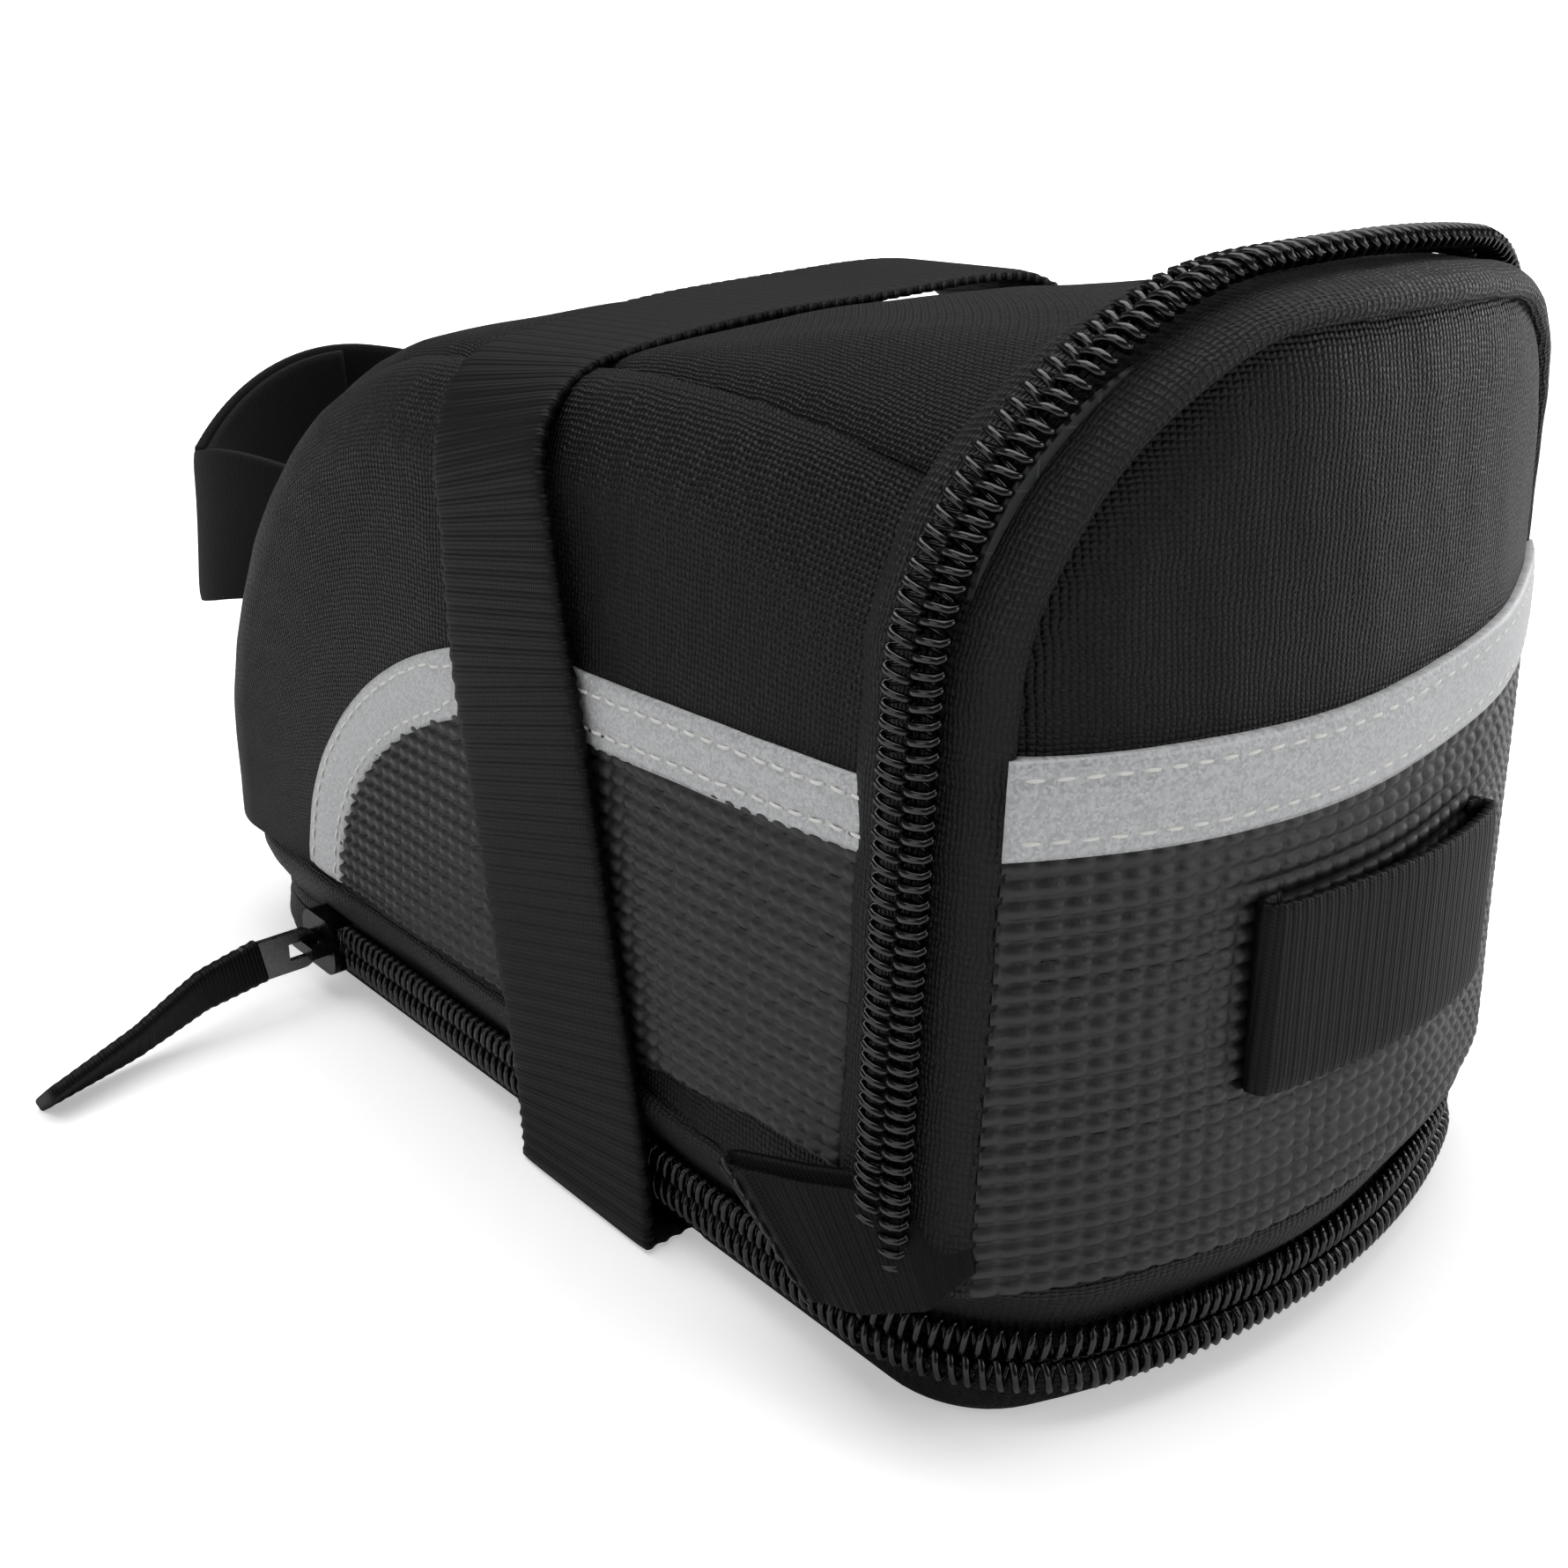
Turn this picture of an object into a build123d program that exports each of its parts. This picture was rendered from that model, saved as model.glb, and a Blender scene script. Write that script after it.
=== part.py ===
from build123d import *
import os
from math import atan, cos, degrees, radians, sin, sqrt

# Wedge-shaped bicycle saddle bag.  Millimetres, +Z up, +Y forward to the seat post.
# The origin is the middle of the bag on the plane that its base rests on.
# The rear door faces -Y, and the bag's left side is -X.

# ---- driving dimensions -------------------------------------------------------------
REAR_Y = -94.2            # rear face on the middle line, at the height of the floor
REAR_LEAN = 0.063         # the rear face leans forward by this much per millimetre of height
REAR_BULGE_R = 95.0       # plan radius of the bulging rear face
HALF_WIDTH_LOW = 49.6     # half width at the floor
HALF_WIDTH_HIGH = 44.4    # half width at the level of the crown, before the corners are rounded
CROWN_Z = 109.0           # top of the rear arch
ARCH_CORNER_Z = 105.0     # where the crown's arc would meet the sides
ARCH_CORNER_R = 27.0
TOP_FRONT_Z = 97.5        # height of the top where the nose begins
TOP_SLOPE = 0.133         # the top falls forward by this much per millimetre
NOSE_Y = 14.0             # where the nose begins
NOSE_R = 66.0
NOSE_FOOT_Y = 76.5        # front of the bag at the floor
NOSE_CORNER_R = 24.0      # plan radius of the two front corners
REAR_CORNER_R = 17.0      # plan radius of the bag's two rear corners, carried down to the base
BASE_INSET = 3.5          # the base and its zip stand in from the body by this much all round

SKIN = 1.0                # woven shell
FOAM = 3.0
LINING = 0.6
BODY_BOTTOM_Z = 19.0      # lower edge of the side panels
BAND_GAP = 0.3            # air between parts that move past each other

STRIP_WIDTH = 9.2         # reflective band
WEBBING = 25.0            # main strap width
WEBBING_T = 1.5
NARROW_WEBBING = 20.0     # light loop and finger tab
STRAP_FLOOR_Y = -26.0     # the strap's middle line at the floor
STRAP_LEAN = 0.292        # the strap leans forward going up

CHAIN_HALF = 2.85         # one coil and half the gap
MAIN_CHAIN_D = 7.1        # the main chain's middle line, forward of the rear face
BASE_CHAIN_Z = 8.05       # the expansion chain's middle line
COIL_PROUD = 2.6          # how far the coils stand out of the tape
EXPANSION_TRAVEL = 20.0

LOOP_Y = 105.5            # middle of the seat-post loop
LOOP_Z = 58.0
LOOP_R = 28.8             # inner radius of the seat-post loop
LOOP_T = 2.2
LOOP_AXIS = (0, -0.29, 0.957)

PANEL_REAR = 15.6         # the side and top panels start this far forward of the rear face
MOUTH_REAR = 5.0          # the padded walls start here, just inside the door
LOWER_FRONT_Y = 33.0      # the embossed side panel: front end, and its top at both ends
LOWER_TOP_REAR_Z = 59.5
LOWER_TOP_FRONT_Z = 54.0

BAND_LOW_Z = 63.8         # lower edge of the door's reflective band
DOOR_FOAM = 2.4
LIGHT_Z = 46.6            # light loop: middle height, half length, room under it
LIGHT_HALF = 18.9
LIGHT_GAP = 2.6

BASE_WALL_Z = 6.2
BASE_FLOOR_T = 2.4
BOARD_T = 1.6
SKIRT_Z0 = 10.2
FLARE_Z = 12.6            # the skirt widens from here up to the body

SHOULDER_Z = 80.0         # the strap's side runs end here
SHOULDER_ARC_X = 18.8     # centre of the arc that turns the strap over the bag's edge
SHOULDER_ARC_Z = 80.9
SHOULDER_R = 27.9
STRAP_SIDE_X = 46.3       # inner face of the strap at the shoulder
STRAP_FLARE_X = 49.8      # inner face where it clears the expansion zip
STRAP_FLARE_Z = 13.0
STRAP_TOP_Z = 99.6        # underside of the strap on the middle line
RAIL_X = 21.0             # the saddle rails' distance from the middle
RAIL_BUMP_HALF = 13.0
RAIL_BUMP_LEFT = 1.8      # how far the strap is raised for each rail
RAIL_BUMP_RIGHT = 4.4

BUCKLE_Z = 50.0           # where the socket and the plug meet
BUCKLE_W = 32.0
BUCKLE_T = 6.4

UNDER_END = 70.0          # seat-post strap: the inner end stops right of the front
OVER_END = 130.0          # the outer end laps it and stops on the left
ANCHOR_T = 1.2            # patch that holds the seat-post strap

COIL_IN = -0.8            # the main coils' inner face, as an inset of the outer form
SLIDER_ROOM_Z = 30.0      # the door's coil starts above the parked slider on the right
MAIN_SLIDER_Z = 25.0      # the main slider's place with the chain closed
SLIDER_Y = 42.0           # the expansion slider's place with the chain closed
PULL_DROOP = -8.0         # degrees that its pull tape drops towards the floor
PULL_TAPE_W = 6.4
PULL_TAPE_L = 30.0

FAR = 260.0
lean_deg = degrees(atan(REAR_LEAN))


# ---- the bag's outer form, shrunk or grown by an inset -------------------------------
def half_width(z, inset=0.0):
    return HALF_WIDTH_LOW + (HALF_WIDTH_HIGH - HALF_WIDTH_LOW) * z / ARCH_CORNER_Z - inset


def arch(inset):
    """Rear-view outline of the bag, run through its whole length."""
    low_z = -20.0
    high = half_width(ARCH_CORNER_Z, inset)
    low = half_width(low_z, inset)
    corner_z = ARCH_CORNER_Z - inset
    with BuildSketch(Plane.XZ) as face:
        with BuildLine():
            Polyline((-high, corner_z), (-low, low_z), (low, low_z), (high, corner_z))
            ThreePointArc((high, corner_z), (0, CROWN_Z - inset), (-high, corner_z))
        make_face()
        fillet(face.vertices().sort_by(Axis.Y)[-2:], ARCH_CORNER_R - inset)
    return extrude(face.sketch, amount=FAR, both=True)


def side_wedge(inset):
    """Side-view outline: sloping top and a quarter-round nose."""
    nose_z = TOP_FRONT_Z - NOSE_R
    r = NOSE_R - inset
    back = -160.0
    mid = (NOSE_Y + r * cos(radians(45)), nose_z + r * sin(radians(45)))
    top_back = TOP_FRONT_Z - inset + TOP_SLOPE * (NOSE_Y - back)
    foot = (NOSE_FOOT_Y - inset, -20.0)
    with BuildSketch(Plane.YZ) as face:
        with BuildLine():
            Polyline(foot, (back, -20.0), (back, top_back), (NOSE_Y, TOP_FRONT_Z - inset))
            ThreePointArc((NOSE_Y, TOP_FRONT_Z - inset), mid, (NOSE_Y + r, nose_z))
            Line((NOSE_Y + r, nose_z), foot)
        make_face()
    return extrude(face.sketch, amount=FAR, both=True)


def rear_drum(shift=0.0, inset=0.0):
    """The leaning cylinder whose back is the rear face, moved forward by shift."""
    drum = Cylinder(REAR_BULGE_R - inset, 400.0)
    drum = Rot(-lean_deg, 0, 0) * drum
    return Pos(0, REAR_Y + REAR_BULGE_R + shift, 0) * drum


def front_corners(inset):
    """Plan outline that rounds the two front corners."""
    half = 50.5 - inset
    front = 81.0 - inset
    with BuildSketch() as face:
        with BuildLine():
            Polyline((half, front - 4.0), (half, -200.0), (-half, -200.0), (-half, front - 4.0))
            ThreePointArc((half, front - 4.0), (0, front), (-half, front - 4.0))
        make_face()
        fillet(face.vertices().sort_by(Axis.Y)[-2:], NOSE_CORNER_R - inset)
    return extrude(face.sketch, amount=FAR, both=True)


def form(inset):
    return arch(inset) & side_wedge(inset) & front_corners(inset) & rear_drum(0.0, inset)


def slab(z0, z1):
    return Pos(0, 0, (z0 + z1) / 2) * Box(FAR, FAR + 100, z1 - z0)


def side_half(sign):
    return Pos(sign * FAR / 2, 0, 0) * Box(FAR, FAR + 100, FAR + 100)


def through_x(points, x0, x1):
    """A side-view polygon of (y, z) points, run from x0 to x1."""
    with BuildSketch(Plane.YZ.offset(x0)) as face:
        with BuildLine():
            Polyline(*points, close=True)
        make_face()
    return extrude(face.sketch, amount=x1 - x0)


def through_z(points, z0, z1):
    """A plan polygon of (x, y) points, run from z0 to z1."""
    with BuildSketch(Plane.XY.offset(z0)) as face:
        with BuildLine():
            Polyline(*points, close=True)
        make_face()
    return extrude(face.sketch, amount=z1 - z0)


def leaning(shape):
    """Lean a shape that was drawn against an upright rear face."""
    return Rot(-lean_deg, 0, 0) * shape


body_zone = slab(BODY_BOTTOM_Z, 130.0)
outer = form(0.0) & body_zone
foam_outer = form(SKIN) & body_zone
foam_inner = form(SKIN + FOAM) & body_zone
cavity = form(SKIN + FOAM + LINING) & slab(0.0, 130.0)

# ---- panels --------------------------------------------------------------------------
TAPE_REAR = MAIN_CHAIN_D + 0.15

# the top panel narrows towards the rear arch, and runs down the nose between the sides
top_panel_zone = through_z(
    [(-41, 120), (-41, 2), (-28, -100), (28, -100), (41, 2), (41, 120)], -30.0, 140.0
)

# side view of the embossed lower panel: a long quarter-round front under the band


def lower_panel_zone(grow):
    """Everything under the reflective band, or under its upper edge when grown by its width."""
    y_front = LOWER_FRONT_Y + grow
    corner = (y_front + 3.0, LOWER_TOP_FRONT_Z + grow)
    with BuildSketch(Plane.YZ) as face:
        with BuildLine():
            Polyline(
                (-120, 0), (y_front, 0), corner, (-120, LOWER_TOP_REAR_Z + 4.0 + grow), close=True
            )
        make_face()
        fillet(face.vertices().sort_by(Axis.X)[-1:], 20.0 + grow)
    return extrude(face.sketch, amount=FAR, both=True)


below_band = lower_panel_zone(0.0)
below_and_band = lower_panel_zone(STRIP_WIDTH)
main_skin = (outer - foam_outer) & rear_drum(PANEL_REAR)
side_skin = main_skin - top_panel_zone
foam_shell = (foam_outer - foam_inner) & rear_drum(MOUTH_REAR)

parts = {}
for side, sign in (("left", -1), ("right", 1)):
    skin = side_skin & side_half(sign)
    parts[f"side_panel_{side}_upper"] = skin - below_and_band
    parts[f"reflective_band_{side}"] = (skin & below_and_band) - below_band
    parts[f"side_panel_{side}_lower"] = skin & below_band
    parts[f"side_foam_{side}"] = (foam_shell - top_panel_zone) & side_half(sign)
parts["top_nose_panel"] = main_skin & top_panel_zone
foam_arc = foam_shell & top_panel_zone
parts["top_foam"] = foam_arc & through_x([(-120, 70), (40, 70), (120, 130), (-120, 130)], -60, 60)
parts["nose_foam"] = foam_arc - through_x([(-120, 70), (40, 70), (120, 130), (-120, 130)], -60, 60)
parts["lining"] = (foam_inner - cavity) & rear_drum(MOUTH_REAR)


# ---- rear arch zip: tapes outside the padded mouth, coils outside the tapes -----------
def arch_ring(inset_out, inset_in, shift0, shift1, z0):
    ring = (arch(inset_out) - arch(inset_in)) & slab(z0, 130.0)
    return (ring & rear_drum(shift0)) - rear_drum(shift1)


COIL_OUT = COIL_IN - COIL_PROUD

parts["body_zip_tape"] = arch_ring(COIL_IN, SKIN, TAPE_REAR, PANEL_REAR, BODY_BOTTOM_Z)
parts["body_zip_coil"] = arch_ring(
    COIL_OUT, COIL_IN, TAPE_REAR, TAPE_REAR + CHAIN_HALF - 0.15, BODY_BOTTOM_Z
)

DOOR_BOTTOM_Z = BODY_BOTTOM_Z + BAND_GAP
DOOR_FRONT = MAIN_CHAIN_D - 0.15
right_low_corner = Pos(50, -75, 0) * Box(60, 60, 2 * SLIDER_ROOM_Z)
door_zone = slab(DOOR_BOTTOM_Z, 130.0)
door_coil = arch_ring(COIL_OUT, COIL_IN, DOOR_FRONT - CHAIN_HALF + 0.15, DOOR_FRONT, DOOR_BOTTOM_Z)
parts["door_zip_tape"] = arch_ring(COIL_IN, 0.0, 0.5, DOOR_FRONT, DOOR_BOTTOM_Z)
parts["door_zip_tape"] -= right_low_corner & rear_drum(DOOR_FRONT - CHAIN_HALF)
parts["door_zip_coil"] = door_coil - right_low_corner

# ---- door ----------------------------------------------------------------------------
door_blank = arch(0.0) & rear_drum(0.0) & door_zone
door_skin = door_blank - rear_drum(SKIN)
band_z0 = slab(0.0, BAND_LOW_Z)
band_z1 = slab(0.0, BAND_LOW_Z + STRIP_WIDTH)
parts["door_panel_lower"] = door_skin & band_z0
parts["reflective_band_rear"] = (door_skin & band_z1) - band_z0
parts["door_panel_upper"] = door_skin - band_z1
parts["door_foam"] = (door_blank & rear_drum(SKIN)) - rear_drum(SKIN + DOOR_FOAM)
parts["door_lining"] = (door_blank & rear_drum(SKIN + DOOR_FOAM)) - rear_drum(
    SKIN + DOOR_FOAM + LINING
)

# clip loop for a rear light: a flat band whose ends turn in to the door


def light_loop():
    t = 1.4
    back = REAR_Y - LIGHT_GAP - t
    outside = Pos(0, (back + REAR_Y + 6) / 2, LIGHT_Z) * Box(
        2 * LIGHT_HALF, REAR_Y + 6 - back, NARROW_WEBBING
    )
    inside = Pos(0, (back + t + REAR_Y + 8) / 2, LIGHT_Z) * Box(
        2 * (LIGHT_HALF - 2 * t), REAR_Y + 8 - back - t, FAR
    )
    return leaning(outside - inside) - rear_drum(0.0)


parts["light_loop"] = light_loop()


# ---- base, skirt and expansion zip -----------------------------------------------------
def footprint(inset, z):
    """Plan outline of the bag at its foot."""
    half = half_width(10.0, inset)
    r = REAR_BULGE_R - inset
    centre_y = REAR_Y + 0.6 + REAR_BULGE_R
    rear_y = centre_y - sqrt(r * r - half * half)
    front = 79.0 - inset
    with BuildSketch(Plane.XY.offset(z)) as face:
        with BuildLine():
            Line((half, front - 3.0), (half, rear_y))
            ThreePointArc((half, rear_y), (0, centre_y - r), (-half, rear_y))
            Line((-half, rear_y), (-half, front - 3.0))
            ThreePointArc((-half, front - 3.0), (0, front), (half, front - 3.0))
        make_face()
        fillet(face.vertices().sort_by(Axis.Y)[:2], REAR_CORNER_R - inset)
        fillet(face.vertices().sort_by(Axis.Y)[-2:], NOSE_CORNER_R - inset)
    return face.sketch


def plan(inset, z0, z1):
    """The base's footprint, as a block."""
    return extrude(footprint(inset + BASE_INSET, z0), amount=z1 - z0)


def flared(inset):
    """The block inside the skirt, which widens upwards from the base to the body."""
    low = footprint(inset + BASE_INSET, FLARE_Z)
    high = footprint(inset, BODY_BOTTOM_Z)
    return loft([low.face(), high.face()], ruled=True)


def plan_ring(inset_out, inset_in, z0, z1):
    return plan(inset_out, z0, z1) - plan(inset_in, z0 - 1, z1 + 1)


UPPER_COIL_Z0 = BASE_CHAIN_Z + 0.15
UPPER_COIL_Z1 = UPPER_COIL_Z0 + CHAIN_HALF - 0.15
LOWER_COIL_Z1 = BASE_CHAIN_Z - 0.15
LOWER_COIL_Z0 = LOWER_COIL_Z1 - CHAIN_HALF + 0.15
# the two base coils stop short of the parked slider at the front left corner
parked_base = Pos(-55, SLIDER_Y + 36, BASE_CHAIN_Z) * Box(60, 88, 20)

parts["skirt"] = plan_ring(0.0, 1.0, SKIRT_Z0, FLARE_Z) + (flared(0.0) - flared(1.0))
parts["expansion_tape_upper"] = plan_ring(0.3, 1.0, UPPER_COIL_Z0, SKIRT_Z0)
parts["expansion_coil_upper"] = plan_ring(-COIL_PROUD, 0.0, UPPER_COIL_Z0, UPPER_COIL_Z1)
parts["expansion_coil_upper"] -= through_z([(-70, 47), (-70, 100), (0, 100), (0, 47)], 0, 30)
parts["expansion_tape_lower"] = plan_ring(0.3, 1.0, BASE_WALL_Z, LOWER_COIL_Z1)
parts["expansion_tape_lower"] -= parked_base
parts["expansion_coil_lower"] = plan_ring(-COIL_PROUD, 0.0, LOWER_COIL_Z0, LOWER_COIL_Z1)
parts["expansion_coil_lower"] -= parked_base


def strap_zone(width):
    """The leaning slab that the main strap runs in."""
    half = width / 2 * sqrt(1 + STRAP_LEAN**2)
    low, high = -10.0, 110.0
    shift_low = STRAP_FLOOR_Y + STRAP_LEAN * low
    shift_high = STRAP_FLOOR_Y + STRAP_LEAN * high
    return through_x(
        [
            (shift_low - half, low),
            (shift_low + half, low),
            (shift_high + half, high),
            (shift_high - half, high),
        ],
        -90,
        90,
    )


strap_slab = strap_zone(WEBBING)
groove = strap_zone(WEBBING + 1.0) & slab(-1.0, WEBBING_T + 0.1)
pan_outer = plan(0.0, 0.0, BASE_WALL_Z)
pan_outer = fillet(pan_outer.edges().group_by(Axis.Z)[0], 2.4)
parts["base_pan"] = pan_outer - plan(1.0, BASE_FLOOR_T, BASE_WALL_Z + 1) - groove
parts["base_board"] = plan(2.0, BASE_FLOOR_T, BASE_FLOOR_T + BOARD_T)
parts["expansion_gusset"] = plan_ring(1.3, 2.6, BASE_FLOOR_T + BOARD_T, BODY_BOTTOM_Z - 1.0)

# ---- main strap ------------------------------------------------------------------------
strap_mid_y = STRAP_FLOOR_Y + STRAP_LEAN * STRAP_TOP_Z


def strap_over_top():
    """Down-turned ends, a flat middle and a bump over each saddle rail."""

    def edge(grow):
        r = SHOULDER_R + grow
        top = STRAP_TOP_Z + grow
        rise = top - SHOULDER_ARC_Z
        a = atan(rise / sqrt(r * r - rise**2))
        x_top = SHOULDER_ARC_X + r * cos(a)
        low = (SHOULDER_ARC_X + r, SHOULDER_ARC_Z)
        mid = (SHOULDER_ARC_X + r * cos(a / 2), SHOULDER_ARC_Z + r * sin(a / 2))
        return low, mid, (x_top, top)

    with BuildSketch(Plane.XZ) as face:
        with BuildLine():
            for grow in (0.0, WEBBING_T):
                low, mid, top = edge(grow)
                z = STRAP_TOP_Z + grow
                near, far = RAIL_X - RAIL_BUMP_HALF, RAIL_X + RAIL_BUMP_HALF
                ThreePointArc((-low[0], low[1]), (-mid[0], mid[1]), (-top[0], top[1]))
                Line((-top[0], z), (-far, z))
                ThreePointArc((-far, z), (-RAIL_X, z + RAIL_BUMP_LEFT), (-near, z))
                Line((-near, z), (near, z))
                ThreePointArc((near, z), (RAIL_X, z + RAIL_BUMP_RIGHT), (far, z))
                Line((far, z), (top[0], z))
                ThreePointArc(top, mid, low)
            inner_low = edge(0.0)[0]
            outer_low = edge(WEBBING_T)[0]
            Line(inner_low, outer_low)
            Line((-inner_low[0], inner_low[1]), (-outer_low[0], outer_low[1]))
        make_face()
    band = extrude(face.sketch, amount=60, both=True)
    tilted = Pos(0, strap_mid_y, STRAP_TOP_Z) * Rot(degrees(-atan(TOP_SLOPE)), 0, 0)
    return (tilted * Pos(0, 0, -STRAP_TOP_Z) * band) & strap_slab


def strap_side(sign, z_low, z_high):
    """A side run, flaring out over the expansion zip and turning in under the base."""
    t = WEBBING_T
    points = [
        (STRAP_SIDE_X, SHOULDER_Z + 4),
        (STRAP_FLARE_X, STRAP_FLARE_Z),
        (STRAP_FLARE_X, 0.0),
        (STRAP_FLARE_X + t, 0.0),
        (STRAP_FLARE_X + t, STRAP_FLARE_Z),
        (STRAP_SIDE_X + t, SHOULDER_Z + 4),
    ]
    with BuildSketch(Plane.XZ) as face:
        with BuildLine():
            Polyline(*[(sign * x, z) for x, z in points], close=True)
        make_face()
    run = extrude(face.sketch, amount=80, both=True)
    return run & strap_slab & slab(z_low, z_high)


parts["strap_over_top"] = strap_over_top() & slab(SHOULDER_Z, 130)
parts["strap_left_run"] = strap_side(-1, WEBBING_T, SHOULDER_Z)
parts["strap_under_base"] = (
    Pos(0, STRAP_FLOOR_Y, WEBBING_T / 2)
    * Box(2 * (STRAP_FLARE_X + WEBBING_T), 2 * WEBBING, WEBBING_T)
) & strap_slab
parts["strap_right_upper"] = strap_side(1, BUCKLE_Z + 20.5, SHOULDER_Z)
parts["strap_right_lower"] = strap_side(1, WEBBING_T, BUCKLE_Z - 11.5)
patch = Pos(0, strap_mid_y, STRAP_TOP_Z) * Rot(degrees(-atan(TOP_SLOPE)), 0, 0)
parts["strap_bartack"] = patch * Pos(0, 0, WEBBING_T + 0.3) * Box(9.0, 20.0, 0.6)


# ---- side-release buckle on the right --------------------------------------------------
def strap_frame(z):
    """A plane on the right side run: x along the bag, y up the strap, z outwards."""
    share = (z - STRAP_FLARE_Z) / (SHOULDER_Z + 4 - STRAP_FLARE_Z)
    x = STRAP_FLARE_X + (STRAP_SIDE_X - STRAP_FLARE_X) * share
    y = STRAP_FLOOR_Y + STRAP_LEAN * z
    up = Vector((STRAP_SIDE_X - STRAP_FLARE_X) / (SHOULDER_Z + 4 - STRAP_FLARE_Z), STRAP_LEAN, 1)
    up = up.normalized()
    across = Vector(0, 1, -STRAP_LEAN).normalized()
    return Plane(origin=(x, y, z), x_dir=across, z_dir=across.cross(up)), up


buckle_plane, buckle_up = strap_frame(BUCKLE_Z)


def buckle_socket():
    """Hollow shell, open below for the plug and at the sides for its prongs, with a strap bar."""
    lift = BUCKLE_T / 2 + 0.6
    shell = Pos(0, 8.5, lift) * Box(BUCKLE_W, 17.0, BUCKLE_T)
    shell = fillet(shell.edges().filter_by(Axis.Z), 3.0)
    hollow = Pos(0, 6.0, lift) * Box(BUCKLE_W - 4.0, 13.0, BUCKLE_T - 2.6)
    windows = Pos(0, 8.0, lift) * Box(BUCKLE_W + 4, 7.0, BUCKLE_T - 2.6)
    frame = Pos(0, 20.8, lift - 0.6) * Box(BUCKLE_W, 8.0, 2.6)
    slot = Pos(0, 20.8, lift - 0.6) * Box(26.0, 3.0, 10)
    return buckle_plane * (shell - hollow - windows + (frame - slot))


def buckle_plug():
    """Base with a ladder for the webbing and three fingers that reach into the socket."""
    lift = BUCKLE_T / 2 + 0.6
    head = Pos(0, -4.3, lift) * Box(BUCKLE_W, 8.0, BUCKLE_T)
    head = fillet(head.edges().filter_by(Axis.Z), 2.0)
    ladder = Pos(0, -12.2, lift - 0.6) * Box(BUCKLE_W, 8.0, 2.6)
    slot = Pos(0, -12.2, lift - 0.6) * Box(26.0, 3.0, 10)
    plug = head + (ladder - slot)
    for x, w in ((-11.0, 3.4), (0.0, 4.0), (11.0, 3.4)):
        plug += Pos(x, 5.0, lift) * Box(w, 11.4, BUCKLE_T - 3.4)
    return buckle_plane * plug


parts["buckle_socket"] = buckle_socket()
parts["buckle_plug"] = buckle_plug()

# ---- seat-post loop --------------------------------------------------------------------
loop_plane = Plane(origin=(0, LOOP_Y, LOOP_Z), x_dir=(1, 0, 0), z_dir=LOOP_AXIS)
nose_clear = form(-BAND_GAP)


def loop_band(r_in, r_out, start_deg, sweep_deg):
    """Part of a ring in the loop's own plane; angles count from +X, towards the front."""
    with BuildSketch() as face:
        with BuildLine():
            points = []
            for r in (r_in, r_out):
                for share in (0.0, 0.5, 1.0):
                    a = radians(start_deg + sweep_deg * share)
                    points.append((r * cos(a), r * sin(a)))
            ThreePointArc(points[0], points[1], points[2])
            ThreePointArc(points[3], points[4], points[5])
            Line(points[0], points[3])
            Line(points[2], points[5])
        make_face()
    return loop_plane * extrude(face.sketch, amount=WEBBING / 2, both=True)


def largest(shape):
    return shape.solids().sort_by(SortBy.VOLUME)[-1]


parts["seatpost_strap_fixed"] = largest(
    loop_band(LOOP_R, LOOP_R + LOOP_T, UNDER_END, 245.0 - UNDER_END) - form(0.0)
)
over_in = LOOP_R + LOOP_T + BAND_GAP
parts["seatpost_strap_flap"] = largest(
    loop_band(over_in, over_in + LOOP_T, -60.0, 60.0 + OVER_END) - nose_clear
)
anchor_zone = through_x([(60, 40), (60, 78), (84, 72), (92, 40)], -17, 17)
anchor_patch = (form(-ANCHOR_T) - form(0.0)) & anchor_zone
anchor_patch -= parts["seatpost_strap_fixed"]
anchor_patch -= loop_plane * Cylinder(LOOP_R + 0.1, FAR)
anchor_patch -= loop_band(over_in - 1.0, over_in + LOOP_T + 1.0, -90.0, 120.0)
parts["seatpost_anchor_patch"] = anchor_patch


# ---- finger tab at the rear left corner --------------------------------------------------
def finger_tab():
    """A short loop of narrow webbing, folded double, lying along the skirt."""
    t = 1.4
    length = 24.0
    eye = 2.2
    with BuildSketch(Plane.XY) as face:
        Rectangle(length, 2 * t + eye, align=(Align.MAX, Align.CENTER))
        fillet(face.vertices().sort_by(Axis.X)[:2], t + eye / 2 - 0.1)
        with Locations((-t, 0)):
            Rectangle(length - 6.0, eye, align=(Align.MAX, Align.CENTER), mode=Mode.SUBTRACT)
    loop = extrude(face.sketch, amount=NARROW_WEBBING / 2 - 1.5, both=True)
    tab_plane = Plane(origin=(-54.6, -75.0, 20.5), x_dir=(-0.03, -1, 0.18), z_dir=(0.3, 0.17, 1))
    return tab_plane * loop


zip_corner = arch(COIL_OUT - BAND_GAP) & slab(BODY_BOTTOM_Z - BAND_GAP, 60.0)
parts["finger_tab"] = finger_tab() - plan(-COIL_PROUD - BAND_GAP, 0, 20) - zip_corner


# ---- zip sliders -------------------------------------------------------------------------
SLIDER_TOP = COIL_PROUD + 1.7     # outer face of a slider's top plate
PIVOT = SLIDER_TOP + 0.9          # the pull's crossbar, above the bag's tape


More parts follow.
